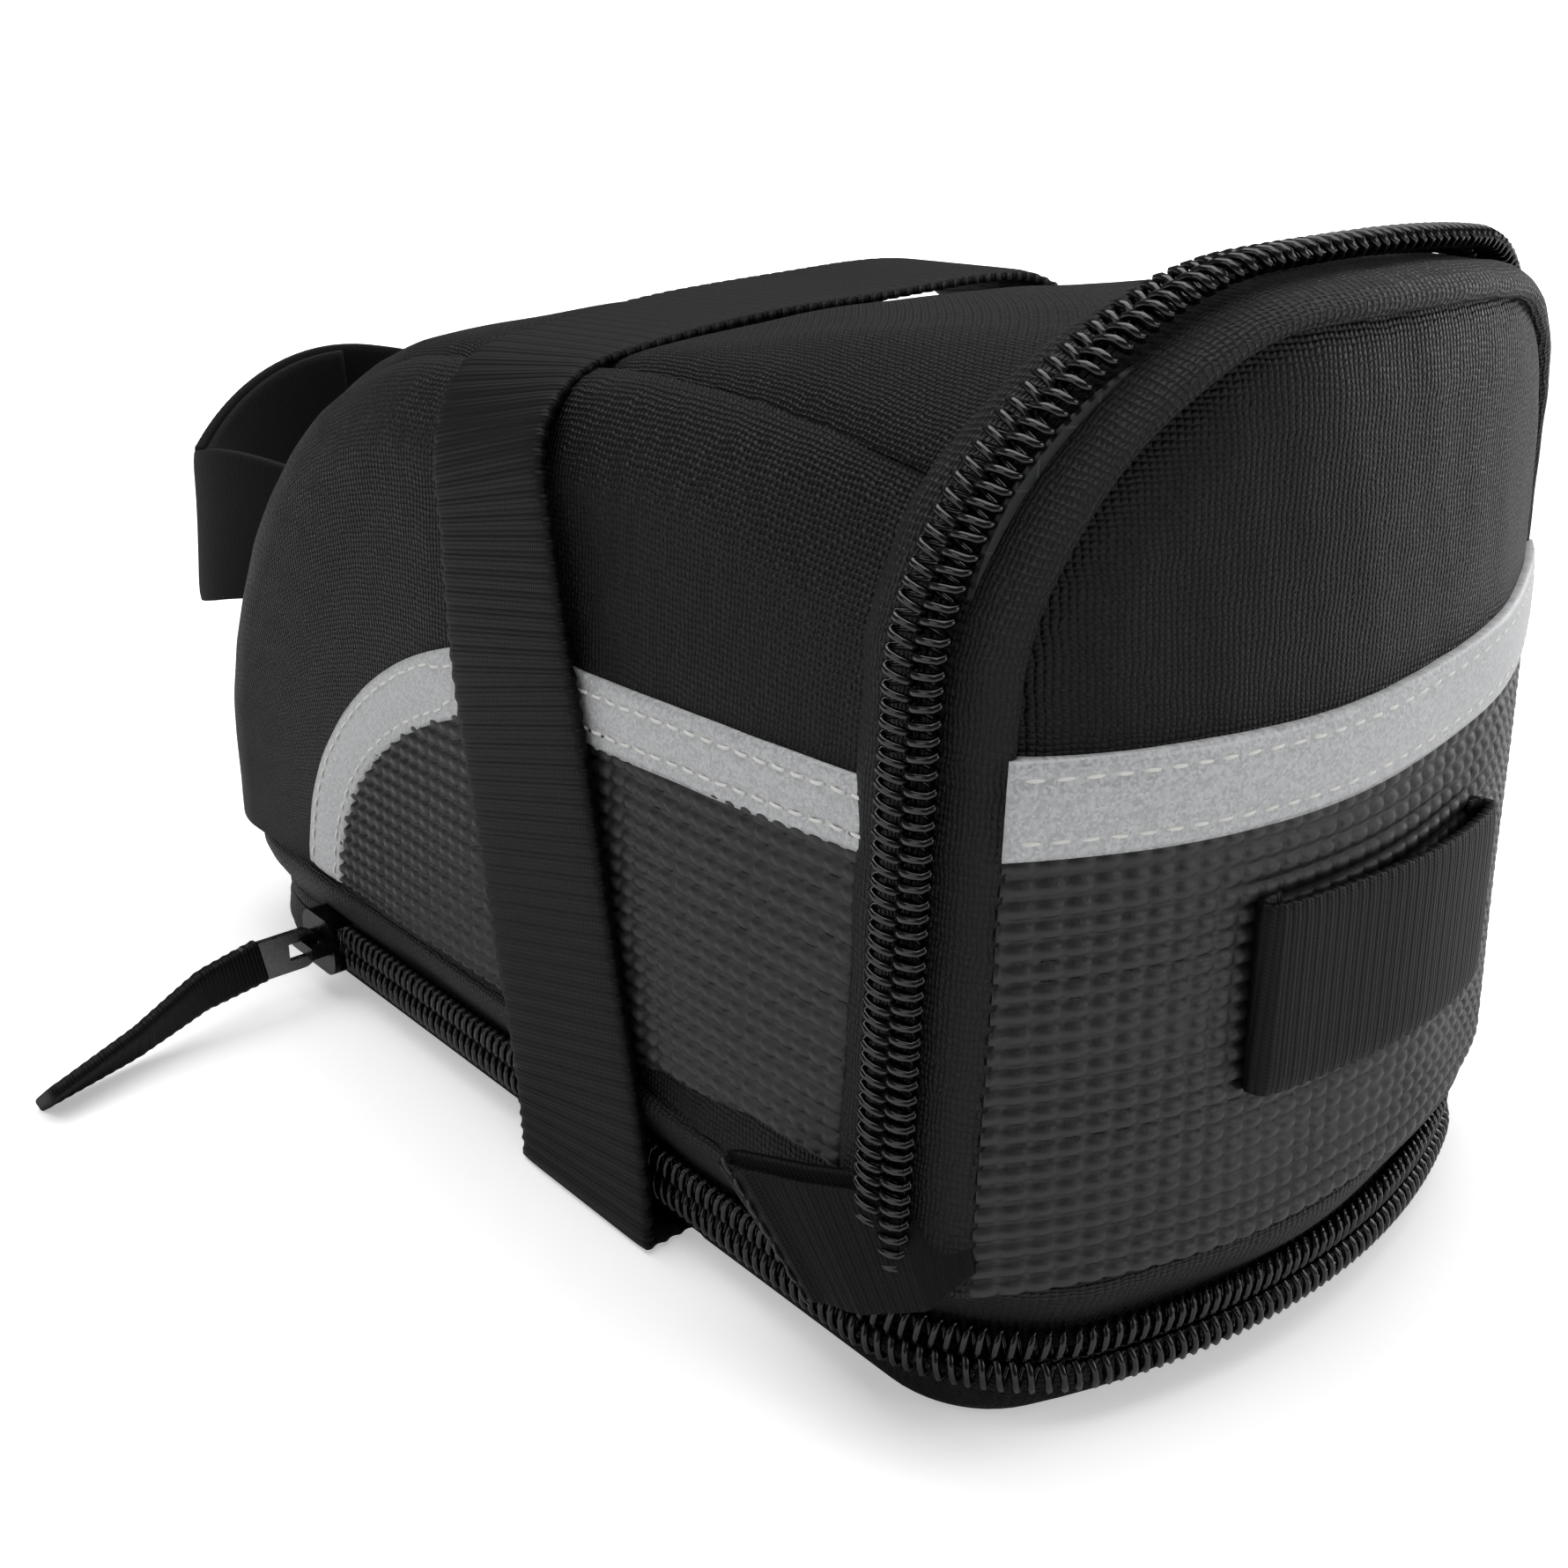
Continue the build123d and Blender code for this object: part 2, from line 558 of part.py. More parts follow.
def slider(length, width):
    """Hollow body for one chain, with a bail along its middle for the pull.

    Local axes: x across the chain, y along it, z away from the bag.
    """
    roof = 0.9
    low = 0.3
    body = Pos(0, 0, (low + SLIDER_TOP) / 2) * Box(width, length, SLIDER_TOP - low)
    body = fillet(body.edges().filter_by(Axis.Z), 2.4)
    throat = Pos(0, 0, (SLIDER_TOP - roof) / 2) * Box(width - 2.0, length + 2, SLIDER_TOP - roof)
    bail_len = length * 0.66
    bail = Pos(0, 0, PIVOT + 0.2) * Box(1.8, bail_len, 3.0)
    eye = Pos(0, 0, PIVOT) * Box(4.0, bail_len - 2.2, 1.6)
    return body - throat + (bail - eye)


def pull(length, width, thick):
    """A flat tongue that hangs along -y, with a window for the bail and a crossbar in its eye."""
    crossbar = 0.5
    tongue = Pos(0, crossbar - length / 2, 0) * Box(width, length, thick)
    tongue = fillet(tongue.edges().filter_by(Axis.Z), width * 0.4)
    window = Pos(0, -crossbar - 1.7, 0) * Box(2.6, 3.4, thick * 3)
    return tongue - window


# main slider, parked at the bottom of the right side with the chain closed
main_x = half_width(MAIN_SLIDER_Z, COIL_IN)
drum_x = main_x + COIL_PROUD / 2
main_y = REAR_Y + REAR_LEAN * MAIN_SLIDER_Z + REAR_BULGE_R + MAIN_CHAIN_D
main_y -= sqrt(REAR_BULGE_R**2 - drum_x**2)
narrowing = (HALF_WIDTH_HIGH - HALF_WIDTH_LOW) / ARCH_CORNER_Z
bulge_slope = drum_x / sqrt(REAR_BULGE_R**2 - drum_x**2)
chain_rise = REAR_LEAN + bulge_slope * narrowing
chain_up = Vector(narrowing, chain_rise, 1).normalized()
across = Vector(0, 1, -chain_rise).normalized()
main_slider_plane = Plane(
    origin=(main_x, main_y, MAIN_SLIDER_Z), x_dir=across, z_dir=across.cross(chain_up)
)
parts["main_slider"] = main_slider_plane * slider(9.4, 10.6)
parts["main_pull"] = main_slider_plane * Pos(0, 0, PIVOT) * pull(20.0, 6.6, 1.0)

# expansion slider, parked at the front end of the left side
base_x = half_width(10.0, BASE_INSET)
base_slider_plane = Plane(
    origin=(-base_x, SLIDER_Y, BASE_CHAIN_Z), x_dir=(0, 0, 1), z_dir=(-1, 0, 0)
)
parts["expansion_slider"] = base_slider_plane * slider(9.0, 8.6)
pull_out = base_slider_plane * Pos(0, 0, PIVOT) * Rot(-90, 0, 0)
parts["expansion_pull"] = pull_out * pull(13.0, 6.0, 1.0)
tape_start = Pos(0, -9.5, 0) * Rot(0, 0, PULL_DROOP)
parts["expansion_pull_tape"] = (
    pull_out * tape_start * (Pos(0, -PULL_TAPE_L / 2, 0) * Box(PULL_TAPE_W, PULL_TAPE_L, 2.2))
) - pull_out * pull(13.0, 6.0, 1.0)

os.makedirs("parts", exist_ok=True)
for name, shape in parts.items():
    solids = [s for s in shape.solids() if s.volume > 0.2]
    out = solids[0] if len(solids) == 1 else Compound(children=solids)
    export_step(out, f"parts/{name}.step")
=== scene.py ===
import math

import bmesh
import bpy
import numpy as np
from mathutils import Matrix, Vector


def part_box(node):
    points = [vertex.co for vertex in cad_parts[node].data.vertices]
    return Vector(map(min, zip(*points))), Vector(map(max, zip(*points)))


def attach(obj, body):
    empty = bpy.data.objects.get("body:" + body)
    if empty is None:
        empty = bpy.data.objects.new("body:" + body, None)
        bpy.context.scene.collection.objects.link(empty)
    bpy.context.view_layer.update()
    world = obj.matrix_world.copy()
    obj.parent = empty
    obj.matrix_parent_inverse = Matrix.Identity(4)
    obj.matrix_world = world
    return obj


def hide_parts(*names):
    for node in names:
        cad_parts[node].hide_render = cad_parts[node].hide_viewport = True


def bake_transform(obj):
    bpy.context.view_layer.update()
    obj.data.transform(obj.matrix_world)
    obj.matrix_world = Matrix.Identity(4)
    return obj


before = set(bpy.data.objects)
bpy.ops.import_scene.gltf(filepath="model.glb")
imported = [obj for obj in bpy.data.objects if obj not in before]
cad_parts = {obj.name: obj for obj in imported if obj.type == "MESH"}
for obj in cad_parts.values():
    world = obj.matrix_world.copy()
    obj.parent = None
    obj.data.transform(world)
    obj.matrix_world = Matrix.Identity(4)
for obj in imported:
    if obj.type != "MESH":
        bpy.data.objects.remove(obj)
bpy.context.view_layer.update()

# All lengths below are millimetres in the shared frame: +Z up, +Y forward, the door faces -Y.
MM = 0.001

# ---- the bag's form, as the CAD has it -------------------------------------------------
REAR_Y = -94.2
REAR_LEAN = 0.063
REAR_R = 95.0
NOSE_Y, NOSE_Z, NOSE_R = 14.0, 31.5, 66.0
TOP_SLOPE = 0.133
CROWN_Z = 110.4
CROWN_DROP = 4.0
ARCH_DROP = 1.4          # extra fall of the rear arch towards its corners
PANEL_Z0 = 19.0
CHAIN_Y = 7.1            # main chain's middle line, forward of the rear face
PANEL_REAR = 15.6        # where the side and top panels begin
BASE_CHAIN_Z = 8.05
STRAP_Y0, STRAP_LEAN = -26.0, 0.292
BASE_INSET = 3.5
BAND_W = 9.2


def half_width(z):
    return 49.6 - 5.2 * z / 105.0


def rear_y(x, z):
    return REAR_Y + REAR_LEAN * z + REAR_R - np.sqrt(REAR_R**2 - np.minimum(np.abs(x), 90) ** 2)


def rounded(a, b, r):
    """Where two faces a <= 0 and b <= 0 meet, with their edge rounded to radius r."""
    return np.minimum(-r, np.maximum(a, b)) + np.hypot(np.maximum(r + a, 0), np.maximum(r + b, 0))


def smooth_step(a, b, t):
    s = np.clip((t - a) / (b - a), 0, 1)
    return s * s * (3 - 2 * s)


def top_face(x, y, z):
    """Signed height over the top and the nose, which is one surface."""
    crown = CROWN_DROP * (x / 44.0) ** 2
    slope = (z - (NOSE_Z + NOSE_R + TOP_SLOPE * (NOSE_Y - y))) * 0.991
    level = z - CROWN_Z + ARCH_DROP * (x / 44.0) ** 2
    roof = rounded(slope, level, 14.0)
    nose = np.hypot(np.maximum(y - NOSE_Y, 0), z - NOSE_Z) - NOSE_R
    front = y - (NOSE_Y + NOSE_R) + (NOSE_Z - z) * 0.068
    ahead = np.where(z > NOSE_Z, nose, front)
    swell = np.exp(-((y + 56.0) / 28.0) ** 2) * (0.9 + 1.9 * smooth_step(-25.0, 25.0, x))
    return np.where(y < NOSE_Y, roof, np.where(z > NOSE_Z, nose, ahead)) + crown - swell


def edge_radius(y):
    """The long edges are broad at the rear arch and tighter towards the nose."""
    return 27.0 - 15.0 * smooth_step(-78.0, -5.0, y)


def body_level(x, y, z):
    return rounded(np.abs(x) - half_width(z), top_face(x, y, z), edge_radius(y))


def cast(level, start, step, reach=130.0):
    """Distance along each ray to the zero of a level function, by bisection."""
    low = np.zeros(start.shape[:-1])
    high = np.full(start.shape[:-1], reach)
    for _ in range(40):
        mid = (low + high) / 2
        p = start + step * mid[..., None]
        inside = level(p[..., 0], p[..., 1], p[..., 2]) < 0
        low = np.where(inside, mid, low)
        high = np.where(inside, high, mid)
    return start + step * low[..., None]


def unit(v):
    return v / np.maximum(np.linalg.norm(v, axis=-1, keepdims=True), 1e-9)


def resample(points, count=None, spacing=None, closed=False):
    """Evenly spaced points along a polyline, with each one's distance along it."""
    p = np.vstack([points, points[:1]]) if closed else np.asarray(points, float)
    run = np.concatenate([[0], np.cumsum(np.linalg.norm(np.diff(p, axis=0), axis=1))])
    if count is None:
        count = max(2, int(round(run[-1] / spacing)) + (0 if closed else 1))
    s = np.linspace(0, run[-1], count, endpoint=not closed)
    return np.stack([np.interp(s, run, p[:, k]) for k in range(p.shape[1])], axis=1), s


def ripple(p, scale, seed):
    """Smooth, repeatable unevenness between -1 and 1 from a few crossed sine waves."""
    rng = np.random.default_rng(seed)
    total = np.zeros(p.shape[:-1])
    for k in range(7):
        direction = rng.normal(size=3)
        direction /= np.linalg.norm(direction)
        wave = scale * (0.6 + 0.9 * rng.random())
        total += np.sin(p @ direction * 2 * math.pi / wave + rng.random() * 6.28)
    return total / 4.2


# ---- outlines ----------------------------------------------------------------------------
def arch_outline(count=420, low=PANEL_Z0 + 0.3):
    """The rear arch in (x, z) from the left foot over to the right foot, and its outward normals."""
    def level(x, y, z):
        crown = z - (CROWN_Z - (CROWN_DROP + ARCH_DROP) * (x / 44.4) ** 2)
        return rounded(np.abs(x) - half_width(z), crown, 27.0)

    start_deg = math.degrees(math.atan2(low - 60.0, half_width(low)))
    turn = np.radians(np.linspace(180 - start_deg, start_deg, 1200))
    start = np.stack([turn * 0, turn * 0, turn * 0 + 60.0], axis=-1)
    step = np.stack([np.cos(turn), turn * 0, np.sin(turn)], axis=-1)
    line, _ = resample(cast(level, start, step)[:, [0, 2]], count)
    tangent = unit(np.gradient(line, axis=0))
    return line, np.stack([-tangent[:, 1], tangent[:, 0]], axis=1)


def plan_outline(count=900):
    """The footprint in (x, y), counter-clockwise from the middle of the front, with its normals."""
    def level(x, y, z):
        sides = np.abs(x) - 49.1 + BASE_INSET
        rear = rounded(sides, rear_y(x, 10.0) + BASE_INSET - y, 13.5)
        return rounded(rear, y - (79.0 - BASE_INSET - 3.0 * (x / 49.1) ** 2), 20.5)

    turn = np.radians(np.linspace(90, 450, 1600, endpoint=False))
    start = np.zeros((len(turn), 3))
    step = np.stack([np.cos(turn), np.sin(turn), turn * 0], axis=-1)
    line, _ = resample(cast(level, start, step)[:, :2], count, closed=True)
    tangent = unit(np.roll(line, -1, axis=0) - np.roll(line, 1, axis=0))
    return line, np.stack([tangent[:, 1], -tangent[:, 0]], axis=1)


# ---- meshes --------------------------------------------------------------------------------
def new_object(name, vertices, faces, uv=None, materials=(), face_material=None, smooth=True):
    mesh = bpy.data.meshes.new(name)
    vertices = np.asarray(vertices, float) * MM
    mesh.from_pydata(vertices.tolist(), [], [tuple(f) for f in np.asarray(faces, int).tolist()]
                     if isinstance(faces, np.ndarray) else faces)
    for m in materials:
        mesh.materials.append(m)
    if face_material is not None:
        mesh.polygons.foreach_set("material_index", np.asarray(face_material, np.int32))
    mesh.polygons.foreach_set("use_smooth", np.full(len(mesh.polygons), smooth))
    if uv is not None:
        layer = mesh.uv_layers.new(name="cloth")
        corner = np.zeros(len(mesh.loops), np.int32)
        mesh.loops.foreach_get("vertex_index", corner)
        layer.data.foreach_set("uv", (np.asarray(uv, float)[corner]).astype(np.float32).ravel())
    mesh.update()
    obj = bpy.data.objects.new(name, mesh)
    bpy.context.collection.objects.link(obj)
    return obj


def grid_faces(rows, cols, closed_rows=False, closed_cols=False, offset=0, flip=False):
    r = np.arange(rows if closed_rows else rows - 1)
    c = np.arange(cols if closed_cols else cols - 1)
    rr, cc = np.meshgrid(r, c, indexing="ij")
    r2, c2 = (rr + 1) % rows, (cc + 1) % cols
    quads = np.stack([rr * cols + cc, rr * cols + c2, r2 * cols + c2, r2 * cols + cc], axis=-1)
    quads = quads.reshape(-1, 4) + offset
    return quads[:, ::-1] if flip else quads


def grid_normals(p):
    du = np.gradient(p, axis=0)
    dv = np.gradient(p, axis=1)
    return unit(np.cross(du, dv))


def uv_of(p):
    """Distances along a grid, in millimetres, so that a weave keeps its real thread spacing."""
    du = np.linalg.norm(np.diff(p, axis=0), axis=-1).mean(axis=1)
    dv = np.linalg.norm(np.diff(p, axis=1), axis=-1).mean(axis=0)
    u = np.concatenate([[0], np.cumsum(du)])
    v = np.concatenate([[0], np.cumsum(dv)])
    return np.stack(np.meshgrid(u, v, indexing="ij"), axis=-1)


def shell(name, p, thickness, materials, uv=None, outward=None, push=None):
    """A closed sheet of cloth: the grid p outside, the same grid a thickness further in, and the rim.

    outward is a direction, or one for each point, that turns the normals outwards; push is an offset
    along them.
    """
    n = grid_normals(p)
    if outward is not None and np.mean(np.sum(n * outward, axis=-1)) < 0:
        n = -n
        flip = True
    else:
        flip = False
    outer = p if push is None else p + n * push[..., None]
    inner = p - n * thickness
    rows, cols = p.shape[:2]
    count = rows * cols
    uv = uv_of(p) if uv is None else uv
    vertices = np.concatenate([outer.reshape(-1, 3), inner.reshape(-1, 3)])
    top = grid_faces(rows, cols, flip=flip)
    bottom = grid_faces(rows, cols, offset=count, flip=not flip)
    index = np.arange(count).reshape(rows, cols)
    loop = np.concatenate([index[0, :], index[1:, -1], index[-1, -2::-1], index[-2:0:-1, 0]])
    nxt = np.roll(loop, -1)
    rim = np.stack([loop, loop + count, nxt + count, nxt], axis=1)
    if flip:
        rim = rim[:, ::-1]
    faces = np.concatenate([top, bottom, rim])
    inside = np.ones(len(bottom)) * (len(materials) > 1)
    which = np.concatenate([np.zeros(len(top)), inside, np.zeros(len(rim))])
    uvs = np.concatenate([uv.reshape(-1, 2)] * 2)
    return new_object(name, vertices, faces, uvs, materials, which)


def ring_shell(name, line, normal, profile, material, lift=None):
    """A closed band round the plan outline; profile lists (offset outwards, z) round its section."""
    profile = np.asarray(profile, float)
    rows, cols = len(line), len(profile)
    p = np.zeros((rows, cols, 3))
    for k, (out, z) in enumerate(profile):
        p[:, k, :2] = line + normal * out
        p[:, k, 2] = z
    if lift is not None:
        p += lift(p)
    run = np.concatenate([[0], np.cumsum(np.linalg.norm(np.diff(line, axis=0), axis=1))])
    across = np.concatenate([[0], np.cumsum(np.linalg.norm(np.diff(profile, axis=0), axis=1))])
    uv = np.stack(np.meshgrid(run, across, indexing="ij"), axis=-1)
    faces = grid_faces(rows, cols, closed_rows=True, closed_cols=True)
    return new_object(name, p.reshape(-1, 3), faces, uv.reshape(-1, 2), [material])


# ---- materials -------------------------------------------------------------------------------
def linear(hex_colour):
    c = [int(hex_colour[i:i + 2], 16) / 255 for i in (1, 3, 5)]
    return tuple(v / 12.92 if v <= 0.04045 else ((v + 0.055) / 1.055) ** 2.4 for v in c) + (1.0,)


def node(tree, kind, links=None, **settings):
    """Adds a shader or geometry node, with its settings by attribute or by input name, and its links."""
    n = tree.nodes.new(kind)
    for key, value in settings.items():
        if hasattr(n, key):
            setattr(n, key, value)
        else:
            n.inputs[key.replace("_", " ")].default_value = value
    for key, source in (links or {}).items():
        tree.links.new(source, n.inputs[key])
    return n


def material(name, colour, roughness, **surface):
    m = bpy.data.materials.new(name)
    m.use_nodes = True
    m.diffuse_color = linear(colour)
    shader = m.node_tree.nodes["Principled BSDF"]
    shader.inputs["Base Color"].default_value = linear(colour)
    shader.inputs["Roughness"].default_value = roughness
    for key, value in surface.items():
        shader.inputs[key.replace("_", " ")].default_value = value
    return m, m.node_tree, shader


def maths(tree, operation, a, b=None, c=None):
    n = tree.nodes.new("ShaderNodeMath")
    n.operation = operation
    for k, v in enumerate((a, b, c)):
        if v is None:
            continue
        if isinstance(v, (int, float)):
            n.inputs[k].default_value = v
        else:
            tree.links.new(v, n.inputs[k])
    return n.outputs[0]


def cloth_axes(tree, solid=False):
    """A vector in millimetres along the cloth and its two axes; a CAD node reads its own coordinates."""
    if not solid:
        uv = node(tree, "ShaderNodeUVMap", uv_map="cloth")
        axes = node(tree, "ShaderNodeSeparateXYZ", {"Vector": uv.outputs[0]})
        return uv.outputs[0], axes.outputs[0], axes.outputs[1]
    co = node(tree, "ShaderNodeTexCoord").outputs["Object"]
    mm = node(tree, "ShaderNodeVectorMath", {0: co}, operation="SCALE", Scale=1000.0).outputs[0]
    x, y, z = node(tree, "ShaderNodeSeparateXYZ", {"Vector": mm}).outputs
    return mm, maths(tree, "ADD", x, maths(tree, "MULTIPLY", y, 0.7)), maths(tree, "SUBTRACT", z, y)


def weave(tree, warp_mm, weft_mm, solid=False):
    """Height of a plain weave: rounded threads that pass over and under by turns, 0 to 1."""
    vector, u, v = cloth_axes(tree, solid)
    wob = node(tree, "ShaderNodeTexNoise", {"Vector": vector}, Scale=0.35, Detail=2.0)
    wob = maths(tree, "MULTIPLY", maths(tree, "SUBTRACT", wob.outputs[0], 0.5), warp_mm * 1.3)
    u = maths(tree, "ADD", u, wob)
    v = maths(tree, "ADD", v, wob)
    a = maths(tree, "MULTIPLY", u, math.pi / warp_mm)
    b = maths(tree, "MULTIPLY", v, math.pi / weft_mm)
    sa, sb = maths(tree, "SINE", a), maths(tree, "SINE", b)
    over = maths(tree, "MULTIPLY", sa, sb)
    warp = maths(tree, "MULTIPLY", maths(tree, "ABSOLUTE", sa), maths(tree, "MAXIMUM", over, 0.0))
    weft = maths(tree, "MULTIPLY", maths(tree, "ABSOLUTE", sb),
                 maths(tree, "MAXIMUM", maths(tree, "MULTIPLY", over, -1.0), 0.0))
    threads = maths(tree, "POWER", maths(tree, "ADD", warp, weft), 0.5)
    return vector, threads


def fuzz(tree, vector, scale, detail=4.0):
    return node(tree, "ShaderNodeTexNoise", {"Vector": vector}, Scale=scale, Detail=detail).outputs[0]


def bump(tree, shader, height, distance_mm, strength=1.0, under=None):
    n = node(tree, "ShaderNodeBump", {"Height": height}, Distance=distance_mm * MM, Strength=strength)
    if under is not None:
        tree.links.new(under, n.inputs["Normal"])
    tree.links.new(n.outputs[0], shader.inputs["Normal"])
    return n.outputs[0]


def mix_colour(tree, share, a, b):
    n = tree.nodes.new("ShaderNodeMix")
    n.data_type = "RGBA"
    tree.links.new(share, n.inputs[0])
    n.inputs[6].default_value = linear(a)
    n.inputs[7].default_value = linear(b)
    return n.outputs[2]


def span(tree, value, low, high, to_low, to_high):
    n = node(tree, "ShaderNodeMapRange", {"Value": value})
    for key, v in zip((1, 2, 3, 4), (low, high, to_low, to_high)):
        n.inputs[key].default_value = v
    return n.outputs[0]


WARP_MM, WEFT_MM = 0.62, 0.56
KNIT_COURSE_MM, KNIT_WALE_MM = 0.78, 0.5


def pack_cloth(name="polyester_600d", solid=False):
    """Coated 600-denier polyester: coarse plain weave, dull black, with a faint silky lift on the threads
    that is painted highlight: the colour is lighter on the thread crowns and darker between them as painted
    shade, mixed with random grain.
    """
    m, t, s = material(name, "#0a0a0b", 0.55, Specular_IOR_Level=0.24)
    vector, threads = weave(t, WARP_MM, WEFT_MM, solid)
    grain = fuzz(t, vector, 3.1)
    # painted light: weave height times random grain, painted highlight on the thread crowns and painted shade
    # in the hollows
    painted_weave_light = maths(t, "MULTIPLY", threads, grain)
    t.links.new(mix_colour(t, painted_weave_light, "#010101", "#101011"), s.inputs["Base Color"])
    t.links.new(span(t, grain, 0.3, 0.7, 0.42, 0.62), s.inputs["Roughness"])
    bump(t, s, maths(t, "ADD", threads, maths(t, "MULTIPLY", grain, 0.35)), 0.3, 1.0)
    return m


def embossed_vinyl():
    """PVC-coated cloth, embossed with a grid of small dimples: charcoal, leathery satin, soft highlights."""
    m, t, s = material("embossed_pvc", "#222223", 0.42, Specular_IOR_Level=0.42)
    grain = fuzz(t, cloth_axes(t)[0], 4.0, 6.0)
    t.links.new(mix_colour(t, grain, "#1a1a1b", "#2c2c2d"), s.inputs["Base Color"])
    t.links.new(span(t, grain, 0.3, 0.7, 0.34, 0.5), s.inputs["Roughness"])
    bump(t, s, grain, 0.05, 0.8)
    return m


def reflective_film():
    """Glass-bead reflective tape: pale silver-grey, even, with a fine glitter."""
    m, t, s = material("reflective_tape", "#b4b5b6", 0.45, Metallic=0.15, Specular_IOR_Level=0.5)
    beads = node(t, "ShaderNodeTexVoronoi", {"Vector": cloth_axes(t)[0]}, Scale=3.4).outputs["Color"]
    bead = node(t, "ShaderNodeSeparateXYZ", {"Vector": beads}).outputs[0]
    t.links.new(mix_colour(t, bead, "#a9aaac", "#cdcecf"), s.inputs["Base Color"])
    t.links.new(span(t, bead, 0.0, 1.0, 0.28, 0.62), s.inputs["Roughness"])
    bump(t, s, bead, 0.03, 0.5)
    return m


def webbing_cloth():
    """Woven polypropylene webbing: black, ribbed across, each rib of fine twisted yarns."""
    m, t, s = material("ribbed_webbing", "#09090a", 0.55, Specular_IOR_Level=0.18)
    vector, u, v = cloth_axes(t)
    yarn = maths(t, "ABSOLUTE", maths(t, "SINE", maths(t, "MULTIPLY", v, math.pi / 0.55)))
    askew = maths(t, "ADD", u, maths(t, "MULTIPLY", v, 0.6))
    slant = maths(t, "ABSOLUTE", maths(t, "SINE", maths(t, "MULTIPLY", askew, math.pi / 0.42)))
    height = maths(t, "ADD", yarn, maths(t, "MULTIPLY", slant, 0.5))
    grain = fuzz(t, vector, 2.2)
    # painted shade: rib and yarn height times random grain, darker in the hollows between ribs and yarns,
    # with painted highlight on their crowns
    painted_rib_shade = maths(t, "MULTIPLY", height, maths(t, "MULTIPLY", grain, 1.1))
    t.links.new(mix_colour(t, painted_rib_shade, "#030303", "#0e0e0f"), s.inputs["Base Color"])
    bump(t, s, height, 0.1, 0.8)
    return m


def zip_tape():
    """Knitted polyester zip tape: dense little loops; the slight sparkle is painted highlight on the loop
    crowns, with painted shade between the loops, mixed with random grain.
    """
    m, t, s = material("zip_tape", "#101011", 0.5, Specular_IOR_Level=0.3)
    vector, threads = weave(t, KNIT_COURSE_MM, KNIT_WALE_MM)
    grain = fuzz(t, vector, 3.6)
    # painted light: knit height times random grain, painted highlight on the loop crowns and painted shade
    # between them
    painted_weave_light = maths(t, "MULTIPLY", threads, grain)
    t.links.new(mix_colour(t, painted_weave_light, "#020202", "#232324"), s.inputs["Base Color"])
    bump(t, s, maths(t, "ADD", threads, grain), 0.3, 1.0)
    return m


def nylon_coil():
    """Extruded nylon monofilament: polished black, with sharp little highlights."""
    m, t, s = material("nylon_coil", "#060606", 0.16, IOR=1.53)
    co = node(t, "ShaderNodeTexCoord").outputs["Object"]
    t.links.new(span(t, fuzz(t, co, 900.0), 0.3, 0.7, 0.1, 0.22), s.inputs["Roughness"])
    return m


def brushed_loop():
    """Hook-and-loop tape, the soft side out: deep black with a short, matt nap."""
    m, t, s = material("hook_and_loop", "#0b0b0b", 0.85, Sheen_Weight=0.03, Specular_IOR_Level=0.15)
    nap = fuzz(t, cloth_axes(t)[0], 2.4, 8.0)
    t.links.new(mix_colour(t, nap, "#040404", "#161616"), s.inputs["Base Color"])
    bump(t, s, nap, 0.25, 0.9)
    return m


def moulded(name, colour, roughness, grain_mm=0.35, **surface):
    """Moulded or cast parts: even colour with a fine spark-eroded grain."""
    m, t, s = material(name, colour, roughness, **surface)
    co = node(t, "ShaderNodeTexCoord").outputs["Object"]
    grain = fuzz(t, co, 1.0 / (grain_mm * MM), 3.0)
    t.links.new(span(t, grain, 0.3, 0.7, roughness - 0.07, roughness + 0.07), s.inputs["Roughness"])
    bump(t, s, grain, 0.02, 0.6)
    return m


def thread(name, colour):
    """Twisted polyester sewing thread."""
    m, t, s = material(name, colour, 0.55, Sheen_Weight=0.2)
    co = node(t, "ShaderNodeTexCoord").outputs["Object"]
    bump(t, s, fuzz(t, co, 4000.0), 0.04, 0.7)
    return m


def lining_cloth(name="ripstop_lining"):
    """Thin ripstop nylon inside the bag: dark grey with a light grid of heavier threads."""
    m, t, s = material(name, "#2f3032", 0.5)
    co = node(t, "ShaderNodeTexCoord").outputs["Object"]
    axes = node(t, "ShaderNodeSeparateXYZ", {"Vector": co}).outputs
    normal = node(t, "ShaderNodeNewGeometry").outputs["Normal"]
    facing = node(t, "ShaderNodeSeparateXYZ", {"Vector": normal}).outputs
    ribs = 0.0
    for k in range(3):
        wave = maths(t, "ABSOLUTE", maths(t, "SINE", maths(t, "MULTIPLY", axes[k], math.pi / 0.005)))
        line = maths(t, "MULTIPLY", span(t, wave, 0.0, 0.12, 1.0, 0.0),
                     span(t, maths(t, "ABSOLUTE", facing[k]), 0.5, 0.8, 1.0, 0.0))
        ribs = maths(t, "MAXIMUM", line, ribs)
    t.links.new(mix_colour(t, ribs, "#2a2b2d", "#46484b"), s.inputs["Base Color"])
    bump(t, s, ribs, 0.08, 0.7)
    return m


CLOTH = pack_cloth()
CLOTH_SOLID = pack_cloth("polyester_600d_solid", True)
VINYL = embossed_vinyl()
FILM = reflective_film()
WEBBING = webbing_cloth()
TAPE = zip_tape()
COIL = nylon_coil()
NAP = brushed_loop()
LINING = lining_cloth()
ACETAL = moulded("acetal_buckle", "#101010", 0.38)
LACQUER = moulded("lacquered_zinc", "#0c0c0d", 0.25, 0.6, Metallic=0.6)
BRIGHT = moulded("worn_bright_zinc", "#6e6e70", 0.28, 0.6, Metallic=1.0)
WHITE_THREAD = thread("white_thread", "#e4e4e0")
BLACK_THREAD = thread("black_thread", "#0d0d0e")
FOAM = moulded("cell_foam", "#303030", 0.9, 0.8)


